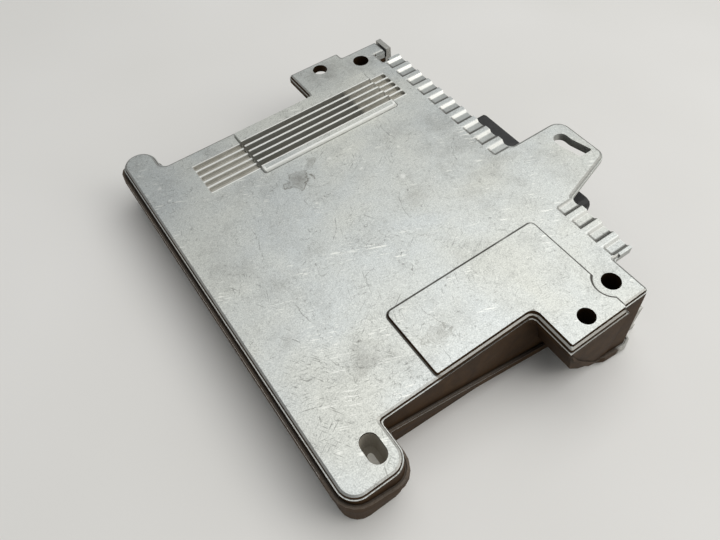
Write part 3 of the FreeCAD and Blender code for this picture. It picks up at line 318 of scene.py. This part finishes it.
# single marks, only on what faces up
def addLidMarks(tree, place, skin, onTop):
    onLid = addNode(tree, "VectorMath", [place, (1, 1, 0)], operation="MULTIPLY")
    fine = raggedPlace(tree, place, onLid, *lidMarks["fine"])
    swirled = raggedPlace(tree, place, onLid, *lidMarks["swirled"])

    found = []
    for centre, radii, amount in lidMarks["smudges"]:
        away = awayFrom(tree, swirled, centre, radii)
        found.append(addNode(tree, "MapRange", [away, *lidMarks["smudgeFade"], amount, 0.0]))
        if amount > lidMarks["driedFrom"]:  # dried at its rim
            rim = between(tree, away, *lidMarks["driedRim"])
            found.append(allOf(tree, rim, amount * lidMarks["rimMore"]))
    patchy = addNode(tree, "MapRange", [skin["patch"], *lidMarks["patchy"]])
    tone = layColor(tree, skin["tone"], lidMarks["smudgeTone"], anyOf(tree, *found), patchy, onTop)

    for centre, radius in lidMarks["paleSpots"]:
        away = awayFrom(tree, fine, centre)
        core = radius * lidMarks["paleCore"]
        inside = addNode(tree, "MapRange", [away, core, radius, lidMarks["paleAmount"], 0.0])
        tone = layColor(tree, tone, lidMarks["paleTone"], inside, onTop)
    skin["tone"] = tone

    broken = addNode(tree, "MapRange", [skin["speck"], *lidMarks["broken"]])
    for centre, radius, keepAt, keepRadius in lidMarks["arcs"]:
        off = addNode(tree, "Math", [awayFrom(tree, fine, centre), radius], operation="SUBTRACT")
        off = addNode(tree, "Math", [off], operation="ABSOLUTE")
        line = addNode(tree, "MapRange", [off, *lidMarks["arcWidth"]])
        away = awayFrom(tree, onLid, keepAt)
        keep = addNode(tree, "MapRange", [away, keepRadius * lidMarks["arcCore"], keepRadius, 1.0, 0.0])
        skin["hair"] = anyOf(tree, skin["hair"], allOf(tree, line, keep, broken))


# the lid's own frame, in mm: forms that the finish follows lie in it as the part's source has them
lidFrame = {"turn": (0, lidTilt, 0), "shift": (87.3795, -0.9467, -36.7613), "nearTop": (-3.2, -2.9),
            "up": (0.7, 0.85), "top": (0.8, 0.97)}
# the ear's slot: where it lies, and the pale side and bright floor tones of the painted light inside it
earSlot = {"middle": (18.3, -86.9), "radii": (5.2, 7.6), "edge": (0.97, 1.0, 1.0, 0.0),
           "heights": (-15.5, -1.1), "soft": 0.4, "tones": ("a8a296", "f4f2ea"), "metal": 0.1}


# All that a layer may ask of a point: where it is in the part's frame and on the lid, and where it faces.
# Its level is 1 on a face that looks straight up from the lid and 0 on an upright wall.
def readPoint(tree, place, facing):
    point = {"place": place}
    point["partX"], point["partY"], partZ = addNode(tree, "SeparateXYZ", [place], None)
    point["faceY"] = addNode(tree, "SeparateXYZ", [facing], "Y")
    point["level"] = addNode(tree, "VectorMath", [facing, lidUp], "Value", operation="DOT_PRODUCT")
    point["up"] = addNode(tree, "MapRange", [point["level"], *lidFrame["up"]])
    inLid = addNode(tree, "Mapping", {"Vector": place, "Rotation": lidFrame["turn"],
                                      "Location": lidFrame["shift"]})
    point["x"], point["y"], point["z"] = addNode(tree, "SeparateXYZ", [inLid], None)
    point["flat"] = addNode(tree, "VectorMath", [inLid, (1, 1, 0)], operation="MULTIPLY")
    point["nearTop"] = addNode(tree, "MapRange", [point["z"], *lidFrame["nearTop"]])

    # the blind slot in the ear goes down through both castings
    away = awayFrom(tree, point["flat"], earSlot["middle"], earSlot["radii"])
    inside = addNode(tree, "MapRange", [away, *earSlot["edge"]])
    point["inSlot"] = allOf(tree, inside, between(tree, point["z"], *earSlot["heights"], earSlot["soft"]))
    return point


# fins on the pad: rubbed tops with a painted highlight, and grooves in painted shade that is darker where
# they are deep, with patches of dirt
fins = {"left": 26.8, "right": 136.8, "low": 50.9, "high": 71.5, "depth": (-8.2, -7.9),
        "deep": (52.5, 112.8, 1.2), "first": 69.4, "pitch": 4.09, "half": 1.525, "soft": 0.08,
        "grooveShadeTones": ("b9b6ae", "838179"), "grooveAmount": 0.92,
        "dirtTone": "8b8577", "dirtAndShade": (0.4, 0.65, 0.0, 0.5),
        "topWearAndHighlightTone": "f6f6f1", "topAmount": 0.85}


def paintFins(tree, point, tone, patch):
    zone = allOf(tree, between(tree, point["x"], fins["left"], fins["right"]),
                 between(tree, point["y"], fins["low"], fins["high"]),
                 addNode(tree, "MapRange", [point["z"], *fins["depth"]]))
    off = fromNearest(tree, point["y"], fins["first"], fins["pitch"])
    off = addNode(tree, "Math", [off], operation="ABSOLUTE")
    pastGroove = addNode(tree, "MapRange", [off, fins["half"] - fins["soft"], fins["half"]])
    onTop = allOf(tree, pastGroove, point["up"])
    deep = between(tree, point["x"], *fins["deep"])
    # painted shade in the grooves, darker in the deep middle run, with dirt patches over it
    shallowShadeTone, deepShadeTone = fins["grooveShadeTones"]
    grooveShade = layColor(tree, hexColor(shallowShadeTone), deepShadeTone, deep)
    dirty = addNode(tree, "MapRange", [patch, *fins["dirtAndShade"]])
    grooveShade = layColor(tree, grooveShade, fins["dirtTone"], dirty)
    tone = layColor(tree, tone, grooveShade, zone, notIn(tree, onTop), fins["grooveAmount"])
    # a painted highlight on the fin tops
    return layColor(tree, tone, fins["topWearAndHighlightTone"], zone, onTop, fins["topAmount"]), zone


# flutes in the lip over the plug: the side of each that faces the back gets a painted shadow line, and the
# one that faces the front a painted highlight; the bottom gets painted shade, more towards the back, and so
# does the inner end.
# A band is two places across one flute and how softly it ends. In front of the tongue the flutes are shifted
# a little to the front.
flutes = {"left": (142.9, 143.0), "right": (153.2, 153.6, 1.0, 0.0), "ends": (-78.2, 79.2, 0.3),
          "tongue": (-46.8, -7.0, 0.4), "first": 74.7, "pitch": 8.85, "frontBelow": -30.0, "frontShift": 0.3,
          "shadedBottom": {"band": (-2.2, 1.9, 0.4), "tone": "8c8d89", "backwards": (-45.0, 20.0, 0.1, 0.5)},
          "line": {"rise": (-3.3, -3.0), "fall": (-1.5, -0.7, 1.0, 0.0), "tone": "413f3a", "amount": 0.88},
          "ridgeHighlight": {"band": (1.9, 3.3, 0.5), "tone": "f2f2ee", "amount": 0.45},
          "innerEndShade": {"band": (-2.7, 2.4, 0.3), "x": (144.6, 145.1, 1.0, 0.0), "tone": "5a5853",
                       "amount": 0.7}}


def paintFlutes(tree, point, tone):
    shadedBottom, shadowLine, ridgeHighlight, innerEndShade = (flutes[k] for k in ("shadedBottom", "line", "ridgeHighlight", "innerEndShade"))
    lip = allOf(tree, addNode(tree, "MapRange", [point["x"], *flutes["left"]]), point["nearTop"],
                addNode(tree, "MapRange", [point["x"], *flutes["right"]]),
                between(tree, point["y"], *flutes["ends"]),
                notIn(tree, between(tree, point["y"], *flutes["tongue"])))
    inFront = addNode(tree, "Math", [point["y"], flutes["frontBelow"]], operation="LESS_THAN")
    shift = allOf(tree, inFront, flutes["frontShift"])
    first = addNode(tree, "Math", [flutes["first"], shift], operation="SUBTRACT")
    across = fromNearest(tree, point["y"], first, flutes["pitch"])

    # painted shade on each flute's bottom, more towards the back, a painted shadow line, a painted highlight,
    # and painted shade at the inner end
    backwards = addNode(tree, "MapRange", [point["y"], *shadedBottom["backwards"]])
    onBottom = between(tree, across, *shadedBottom["band"])
    tone = layColor(tree, tone, shadedBottom["tone"], onBottom, lip, backwards)
    rising = addNode(tree, "MapRange", [across, *shadowLine["rise"]])
    falling = addNode(tree, "MapRange", [across, *shadowLine["fall"]])
    tone = layColor(tree, tone, shadowLine["tone"], rising, falling, lip, shadowLine["amount"])
    onRidge = between(tree, across, *ridgeHighlight["band"])
    tone = layColor(tree, tone, ridgeHighlight["tone"], onRidge, lip, ridgeHighlight["amount"])
    atInnerEnd = addNode(tree, "MapRange", [point["x"], *innerEndShade["x"]])
    inFlute = between(tree, across, *innerEndShade["band"])
    return layColor(tree, tone, innerEndShade["tone"], atInnerEnd, inFlute, lip, innerEndShade["amount"]), lip


# the raised panel and pad: painted shade on the outer rim, a painted highlight on the pad's front side, and a
# painted shade line in the step round both
panel = {"body": {"middle": (90.85, -63.2), "half": (38.35, 16.9), "round": 3.0},
         "arm": {"middle": (112.6, -93.15), "half": (16.6, 46.85), "round": 2.2},
         "hole": (133.6, -86.9), "relief": 7.8,
         "tab": {"middle": (129.15, -70.275), "half": (30.85, 30.275), "round": 1.5},
         "edge": -80.25, "rim": (1.4, 1.9, 1.0, 0.0), "rimRun": (52.6, 129.0, 0.3),
         "rimEnd": (-77.0, -76.0, 1.0, 0.0), "rimShadeTone": "6b6761", "rimAmount": 0.65,
         "line": (-0.45, 0.55, 0.22), "stepShadeTone": "3b3833", "patchy": (0.3, 0.5, 0.7, 0.95)}
pad = {"box": {"middle": (90.45, 62.8), "half": (37.95, 15.9), "round": 1.5}, "inside": (0.0, 1.0, 1.0, 0.0),
       "line": (0.0, 0.35, 0.15), "lineEnd": (77.5, 76.5), "lineAmount": 0.8, "side": (-1.5, -0.25, 0.3),
       "sideEnd": (49.5, 51.0, 1.0, 0.0), "sidePaintedLight": "fbfbf6", "sideAmount": 0.85}


def paintRaised(tree, point, tone, patch, fromPad):
    x, y, flat, nearTop = (point[k] for k in ("x", "y", "flat", "nearTop"))

    # the panel's outer rim, which rolls over into the wall, in painted shade
    toFront = addNode(tree, "Math", [panel["edge"], y], operation="SUBTRACT")
    outward = addNode(tree, "Math", [fromBox(tree, flat, panel["tab"]), toFront], operation="MINIMUM")
    inward = addNode(tree, "Math", [outward, -1.0], operation="MULTIPLY")
    rim = addNode(tree, "MapRange", [inward, *panel["rim"]])
    alongRim = between(tree, x, *panel["rimRun"])
    outer = addNode(tree, "MapRange", [y, *panel["rimEnd"]])
    tone = layColor(tree, tone, panel["rimShadeTone"], rim, alongRim, nearTop, outer, panel["rimAmount"])

    # a painted highlight on the pad's side that faces the front
    padSideHighlight = between(tree, fromPad, *pad["side"])
    inner = addNode(tree, "MapRange", [y, *pad["sideEnd"]])
    tone = layColor(tree, tone, pad["sidePaintedLight"], padSideHighlight, inner, pad["sideAmount"])

    # a painted shade line in the step along the panel's outline and the pad's; the panel's outline: two boxes
    # together, less the relief round the corner hole
    fromHole = awayFrom(tree, flat, panel["hole"])
    fromBody, fromArm = (fromBox(tree, flat, panel[k]) for k in ("body", "arm"))
    fromPanel = addNode(tree, "Math", [fromBody, fromArm], operation="MINIMUM")
    inRelief = addNode(tree, "Math", [panel["relief"], fromHole], operation="SUBTRACT")
    panelShadeLine = between(tree, anyOf(tree, fromPanel, inRelief), *panel["line"])
    padShadeLine = allOf(tree, between(tree, fromPad, *pad["line"]),
                    addNode(tree, "MapRange", [y, *pad["lineEnd"]]), pad["lineAmount"])
    patchy = addNode(tree, "MapRange", [patch, *panel["patchy"]])
    return layColor(tree, tone, panel["stepShadeTone"], anyOf(tree, panelShadeLine, padShadeLine), nearTop, patchy)


# painted shade on the side walls: a dull brown that stands for the dark floor they reflect, and where each
# casting goes without it
wall = {"tones": ("32210f", "4a3318", "6c5234"), "metal": 0.75, "rougher": 0.18,
        "facing": (0.6, 0.82, 1.0, 0.0),
        "streak": {"Scale": 1 / 9, "Detail": 4, "Roughness": 0.65, "Distortion": 0.5},
        "streaky": (0.3, 0.72), "grainy": (0.55, 0.85, 0.0, 0.4)}
caseLightAndShade = {"lipEnd": (51.2, 51.6), "lipHeight": (-4.6, -4.2), "lipAmount": 0.8,
            "frontFaces": (-0.3, -0.55), "frontHighlightTone": "f6f6f1", "frontHighlightAmount": 0.5,
            "arrisLevel": (0.86, 0.95, 0.02), "arrisHeight": (-1.4, -1.2), "arrisShadeTone": "8a8781",
            "arrisShadeAmount": 0.55}
coverShadeLimits = {"lugsFrom": (48.0, 50.0), "lugsOutside": (84.0, 86.0), "lugsAmount": 0.85,
             "underLevel": (-0.9, -0.6, 0.95, 0.0), "underAmount": 0.7, "wallShade": 0.85}


# the lid's small forms are painted, and they and the end of the lip get none of the painted wall shade
def paintCase(tree, point, tone, onWall, skin):
    tone, inFins = paintFins(tree, point, tone, skin["patch"])
    tone, inLip = paintFlutes(tree, point, tone)
    fromPad = fromBox(tree, point["flat"], pad["box"])
    tone = paintRaised(tree, point, tone, skin["patch"], fromPad)
    inPad = allOf(tree, addNode(tree, "MapRange", [fromPad, *pad["inside"]]), point["nearTop"])
    smallForms = anyOf(tree, inFins, inPad, inLip)
    inForms = anyOf(tree, smallForms, point["inSlot"])

    lipEnd = allOf(tree, addNode(tree, "MapRange", [point["partX"], *caseLightAndShade["lipEnd"]]),
                   addNode(tree, "MapRange", [point["z"], *caseLightAndShade["lipHeight"]]), caseLightAndShade["lipAmount"])
    onWall = allOf(tree, onWall, notIn(tree, anyOf(tree, inForms, lipEnd)))
    # a painted highlight on the sides of the small forms that face the front
    toFront = addNode(tree, "MapRange", [point["faceY"], *caseLightAndShade["frontFaces"]])
    tone = layColor(tree, tone, caseLightAndShade["frontHighlightTone"], toFront, smallForms, caseLightAndShade["frontHighlightAmount"])

    # the rounded top arris gets painted shade, a little darker than the lid
    arrisShade = allOf(tree, between(tree, point["level"], *caseLightAndShade["arrisLevel"]), notIn(tree, inForms),
                     addNode(tree, "MapRange", [point["z"], *caseLightAndShade["arrisHeight"]]))
    tone = layColor(tree, tone, caseLightAndShade["arrisShadeTone"], arrisShade, caseLightAndShade["arrisShadeAmount"])
    return tone, onWall, smallForms


# the cover gets the painted brown wall shade nearly all over, its walls fully: only its lugs at the plug side
# go without it, and its underside in part
def coverWallShade(tree, point, onWall):
    outward = addNode(tree, "Math", [point["partY"]], operation="ABSOLUTE")
    lugs = allOf(tree, addNode(tree, "MapRange", [point["partX"], *coverShadeLimits["lugsFrom"]]),
                 addNode(tree, "MapRange", [outward, *coverShadeLimits["lugsOutside"]]), coverShadeLimits["lugsAmount"])
    under = addNode(tree, "MapRange", [point["level"], *coverShadeLimits["underLevel"]])
    under = allOf(tree, under, coverShadeLimits["underAmount"])
    return allOf(tree, anyOf(tree, onWall, coverShadeLimits["wallShade"]), notIn(tree, lugs), notIn(tree, under))


# painted shade on the walls: a streaky dull brown that stands for the dark floor they reflect; and painted
# light inside the ear's slot: pale sides and a painted highlight on its floor
def paintWallShadeAndSlotLight(tree, point, tone, onWall, grain):
    shadow, middle, light = wall["tones"]
    streak = addNode(tree, "TexNoise", {"Vector": point["place"], **wall["streak"]})
    streaky = addNode(tree, "MapRange", [streak, *wall["streaky"]])
    grainy = addNode(tree, "MapRange", [grain, *wall["grainy"]])
    wallShade = layColor(tree, hexColor(shadow), middle, streaky)
    wallShade = layColor(tree, wallShade, light, grainy)
    tone = layColor(tree, tone, wallShade, onWall)
    # painted light in the ear's slot: pale sides, and a painted highlight on the floor where it faces up
    sidePaintedLight, floorTone = earSlot["tones"]
    slotPaintedLight = layColor(tree, hexColor(sidePaintedLight), floorTone, point["up"])
    return layColor(tree, tone, slotPaintedLight, point["inSlot"])


# painted shade at the foot of each step and in recesses, from ambient occlusion; and arrises worn bright with
# a painted highlight, the ledge under the lid most of all
creaseShade = {"reachMm": 1.6, "open": (0.45, 0.92, 1.0, 0.0), "tone": "2e2a25", "inForms": 0.5}
arris = {"widthMm": 0.34, "bend": (0.84, 0.98, 1.0, 0.0), "open": (0.75, 0.97), "upwards": (0.35, 0.6),
         "broken": (0.3, 0.6, 0.4, 1.0), "underLid": (-1.4, -1.0, 0.9, 0.15), "coverRun": (-82.2, 84.0, 1.0),
         "tone": "e6e6e1", "amount": 0.8, "smoother": 0.14}


# worn arrises with a painted highlight: where the bevelled normal turns away from the face's own, on arrises
# that are open and look upwards
def wornArrisHighlight(tree, openness, speck):
    softNormal = addNode(tree, "Bevel", {"Radius": arris["widthMm"] * mm}, samples=4)
    ownNormal = addNode(tree, "NewGeometry", (), "Normal")
    along = addNode(tree, "VectorMath", [softNormal, ownNormal], "Value", operation="DOT_PRODUCT")
    upwards = addNode(tree, "VectorMath", [softNormal, lidUp], "Value", operation="DOT_PRODUCT")
    return allOf(tree, addNode(tree, "MapRange", [along, *arris["bend"]]),
                 addNode(tree, "MapRange", [openness, *arris["open"]]),
                 addNode(tree, "MapRange", [upwards, *arris["upwards"]]),
                 addNode(tree, "MapRange", [speck, *arris["broken"]]))


# roughness, metal and relief of the casting
def castSurface(tree, point, skin, onWall, edge):
    rough = addNode(tree, "MapRange", [skin["stain"], *casting["rough"]])
    for pattern, amount in ((skin["grain"], casting["rougherGrain"]), (onWall, wall["rougher"]),
                            (edge, -arris["smoother"])):
        rough = addNode(tree, "Math", [rough, allOf(tree, pattern, amount)], operation="ADD")
    metal = addNode(tree, "MapRange", [onWall, 0.0, 1.0, casting["metal"], wall["metal"]])
    outOfSlot = addNode(tree, "MapRange", [point["inSlot"], 0.0, 1.0, 1.0, earSlot["metal"]])
    sandy = addNode(tree, "Math", [skin["grain"], skin["speck"]], operation="ADD")
    height = allOf(tree, sandy, casting["sand"])
    for pattern, share in ((skin["hair"], casting["scratchCut"]), (skin["pits"], casting["pitCut"])):
        height = addNode(tree, "Math", [height, allOf(tree, pattern, share)], operation="SUBTRACT")
    wavy = addNode(tree, "TexNoise", {"Vector": point["place"], **casting["wavy"]})
    relief = addNode(tree, "Bump", {"Height": wavy, "Distance": casting["wavyDepth"] * mm,
                                    "Strength": casting["wavyStrength"]})
    relief = addNode(tree, "Bump", {"Height": height, "Distance": casting["sandDepth"] * mm,
                                    "Strength": casting["sandStrength"], "Normal": relief})
    return {"Metallic": allOf(tree, metal, outOfSlot), "Roughness": rough, "Normal": relief}


# the fourth argument sets how strong the painted shade in steps and recesses is
def castAluminium(name, tones, wear, dirtAndShade, isCase):
    material, tree, place, facing = newMaterial(name)
    point = readPoint(tree, place, facing)
    skin = castSkin(tree, place, tones, wear)
    if isCase:
        addLidMarks(tree, place, skin, addNode(tree, "MapRange", [point["level"], *lidFrame["top"]]))
    tone = layColor(tree, skin["tone"], scratches["tone"], skin["hair"], scratches["amount"] * wear)

    onWall = addNode(tree, "MapRange", [point["level"], *wall["facing"]])
    clear = point["inSlot"]
    if isCase:
        tone, onWall, smallForms = paintCase(tree, point, tone, onWall, skin)
        clear = anyOf(tree, clear, allOf(tree, smallForms, creaseShade["inForms"]))
    else:
        onWall = coverWallShade(tree, point, onWall)
    tone = paintWallShadeAndSlotLight(tree, point, tone, onWall, skin["grain"])

    # painted shade: darker where ambient occlusion finds the foot of a step or a recess, less in the small
    # forms and none in the ear's slot
    openness = addNode(tree, "AmbientOcclusion", {"Distance": creaseShade["reachMm"] * mm}, "AO", samples=6)
    inStep = addNode(tree, "MapRange", [openness, *creaseShade["open"]])
    tone = layColor(tree, tone, creaseShade["tone"], inStep, dirtAndShade, notIn(tree, clear))

    edge = wornArrisHighlight(tree, openness, skin["speck"])
    if isCase:  # the ledge is the brightest, the rounded arris above it far less so
        underLid = addNode(tree, "MapRange", [point["z"], *arris["underLid"]])
        edge = allOf(tree, edge, anyOf(tree, underLid, smallForms))
    else:  # round the ears the cover's edge has stayed dull
        edge = allOf(tree, edge, between(tree, point["partY"], *arris["coverRun"]))
    # worn arrises and their painted highlight
    tone = layColor(tree, tone, arris["tone"], edge, arris["amount"])
    closeMaterial(tree, {"Base Color": tone, **castSurface(tree, point, skin, onWall, edge)})
    return material


caseTones = {"cool": "c6cac9", "warm": "d4d5ce", "dark": "9a9b97", "bright": "f0f0ea"}
coverTones = {"cool": "bdbdb8", "warm": "c8c6bf", "dark": "8b8a85", "bright": "e6e5df"}
materials = {
    "case_casting": castAluminium("die_cast_aluminium_case", caseTones, wear=1.0, dirtAndShade=0.4, isCase=True),
    "cover_casting": castAluminium("die_cast_aluminium_cover", coverTones, wear=0.8, dirtAndShade=0.5, isCase=False),
}
print("castings done")


# Plain moulded, rolled or fired finishes: two tones mottled and a third for dust and scratches, the size of
# the mottling in mm, the range of roughness, and where they have them metal and a clear coat.
plainFinishes = {
    # moulded in a heated tool: dead matt black with a bloom of grey dust
    "seal_rubber": {"name": "moulded_silicone_rubber", "tones": ("101011", "18181a", "35322f"),
                    "mottleMm": 0.5, "rough": (0.62, 0.82)},
    # cold-headed and zinc plated: pale, slightly yellow and dulled
    "screw_steel": {"name": "zinc_plated_steel", "tones": ("8d8a80", "a29f95", "5d5a52"),
                    "mottleMm": 0.4, "rough": (0.3, 0.5), "metal": 1.0},
    # pressed from glass cloth and resin under a green lacquer: a soft gloss
    "board_laminate": {"name": "epoxy_glass_laminate", "tones": ("0c3b22", "11492b", "3c6b4b"),
                       "mottleMm": 0.6, "rough": (0.3, 0.45), "coat": 0.3},
    # injection moulded in a spark-eroded tool: a fine even grain, satin black
    "black_plastic": {"name": "moulded_polyamide", "tones": ("141516", "1d1e20", "3f3d3a"),
                      "mottleMm": 0.6, "rough": (0.45, 0.62)},
    # stamped and tinned: a warm pale shine, a little tarnished
    "pin_plating": {"name": "tinned_brass", "tones": ("b9ad8a", "cdc3a2", "877c5e"),
                    "mottleMm": 0.3, "rough": (0.2, 0.35), "metal": 1.0},
    # transfer moulded and sand finished: matt, nearly black
    "package_plastic": {"name": "moulded_epoxy", "tones": ("161618", "1f1f22", "3a3a3d"),
                        "mottleMm": 0.35, "rough": (0.55, 0.7)},
    # rolled strip, dipped in tin: bright silver going grey
    "lead_tin": {"name": "tinned_copper_strip", "tones": ("b4b4b1", "c6c6c3", "8a8985"),
                 "mottleMm": 0.3, "rough": (0.25, 0.4), "metal": 1.0},
    # calendered and filled with powder: soft, chalky grey
    "sheet_grey": {"name": "filled_silicone_sheet", "tones": ("8d9092", "9b9ea0", "74777a"),
                   "mottleMm": 0.5, "rough": (0.7, 0.85)},
    # deep drawn and shrunk into a dark sleeve: smooth with a low gloss
    "can_aluminium": {"name": "sleeved_drawn_aluminium", "tones": ("23262e", "2d313a", "50545c"),
                      "mottleMm": 0.5, "rough": (0.3, 0.45), "metal": 0.1},
    # dipped and cured: a thick, glossy red-brown skin
    "film_plastic": {"name": "dipped_epoxy", "tones": ("7c2a14", "8f3319", "a65b3f"),
                     "mottleMm": 0.6, "rough": (0.2, 0.35), "coat": 0.4},
    # pressed and fired: an even tan, faintly sandy
    "ceramic_tan": {"name": "fired_ceramic", "tones": ("9c7f5b", "ad8f69", "c7b290"),
                    "mottleMm": 0.3, "rough": (0.5, 0.65)},
    # pressed powder, sintered: dark, dense grey without gloss
    "ferrite_grey": {"name": "sintered_ferrite", "tones": ("2a2a2c", "343436", "55555a"),
                     "mottleMm": 0.4, "rough": (0.6, 0.75)},
    # drawn and enamelled: clear red-gold shine
    "copper_wire": {"name": "enamelled_copper_wire", "tones": ("a3552a", "b9683a", "6e3819"),
                    "mottleMm": 0.3, "rough": (0.25, 0.4), "metal": 1.0},
    # rolled alloy strip: a warm grey with a drawn sheen
    "resistance_metal": {"name": "rolled_resistance_alloy", "tones": ("8f887c", "a39c90", "5f594e"),
                         "mottleMm": 0.4, "rough": (0.35, 0.5), "metal": 1.0},
}
fineScratches = {"angles": (31, -54), "width": 0.6, "length": 18, "cut": 0.67, "amount": 0.25, "depth": 0.7}
# what these finishes share: their mottling and relief, dust, and fine scratches sized in mottles
mottle = {"cloudWider": 8, "cloudRough": 0.55, "grainRough": 0.65, "detail": 3, "cloudy": (0.35, 0.65),
          "grainy": (0.3, 0.7), "reliefMm": 0.01, "reliefStrength": 0.8}
dustLayer = {"settled": (0.2, 0.42, 0.05, 0.5), "upwards": (0.2, 0.9, 0.35, 1.0), "rougher": 0.15}


def plainFinish(look):
    material, tree, place, facing = newMaterial(look["name"])
    firstTone, secondTone, dustTone = look["tones"]
    up = addNode(tree, "SeparateXYZ", [facing], "Z")
    cloudMm = look["mottleMm"] * mottle["cloudWider"]
    cloud = addNode(tree, "TexNoise", {"Vector": place, "Scale": 1 / cloudMm, "Detail": mottle["detail"],
                                       "Roughness": mottle["cloudRough"]})
    grain = addNode(tree, "TexNoise", {"Vector": place, "Scale": 1 / look["mottleMm"],
                                       "Detail": mottle["detail"], "Roughness": mottle["grainRough"]})
    cloudy = addNode(tree, "MapRange", [cloud, *mottle["cloudy"]])
    tone = layColor(tree, hexColor(firstTone), secondTone, cloudy)

    # dust settles in patches, most on what faces up
    settled = addNode(tree, "MapRange", [allOf(tree, cloud, grain), *dustLayer["settled"]])
    dust = allOf(tree, settled, addNode(tree, "MapRange", [up, *dustLayer["upwards"]]))
    tone = layColor(tree, tone, dustTone, dust)
    rough = addNode(tree, "MapRange", [grain, *mottle["grainy"], *look["rough"]])
    rough = addNode(tree, "Math", [rough, allOf(tree, dust, dustLayer["rougher"])], operation="ADD")

    widthMm = look["mottleMm"] * fineScratches["width"]
    lengthMm = look["mottleMm"] * fineScratches["length"]
    lines = [scratchLines(tree, place, angle, widthMm, lengthMm, fineScratches["cut"])
             for angle in fineScratches["angles"]]
    scratch = anyOf(tree, *lines)
    tone = layColor(tree, tone, dustTone, scratch, fineScratches["amount"])
    cut = allOf(tree, scratch, fineScratches["depth"])
    height = addNode(tree, "Math", [grain, cut], operation="SUBTRACT")
    relief = addNode(tree, "Bump", {"Height": height, "Distance": mottle["reliefMm"] * mm,
                                    "Strength": mottle["reliefStrength"]})
    closeMaterial(tree, {"Base Color": tone, "Metallic": look.get("metal", 0.0), "Roughness": rough,
                         "Coat Weight": look.get("coat", 0.0), "Normal": relief})
    return material


for slot, look in plainFinishes.items():
    materials[slot] = plainFinish(look)
print("plain finishes done:", len(plainFinishes))

for part in frame["record"]["subparts"]:
    meshData = nodes[part["node"]].data
    meshData.materials.clear()
    meshData.materials.append(materials[part["material_slot"]])
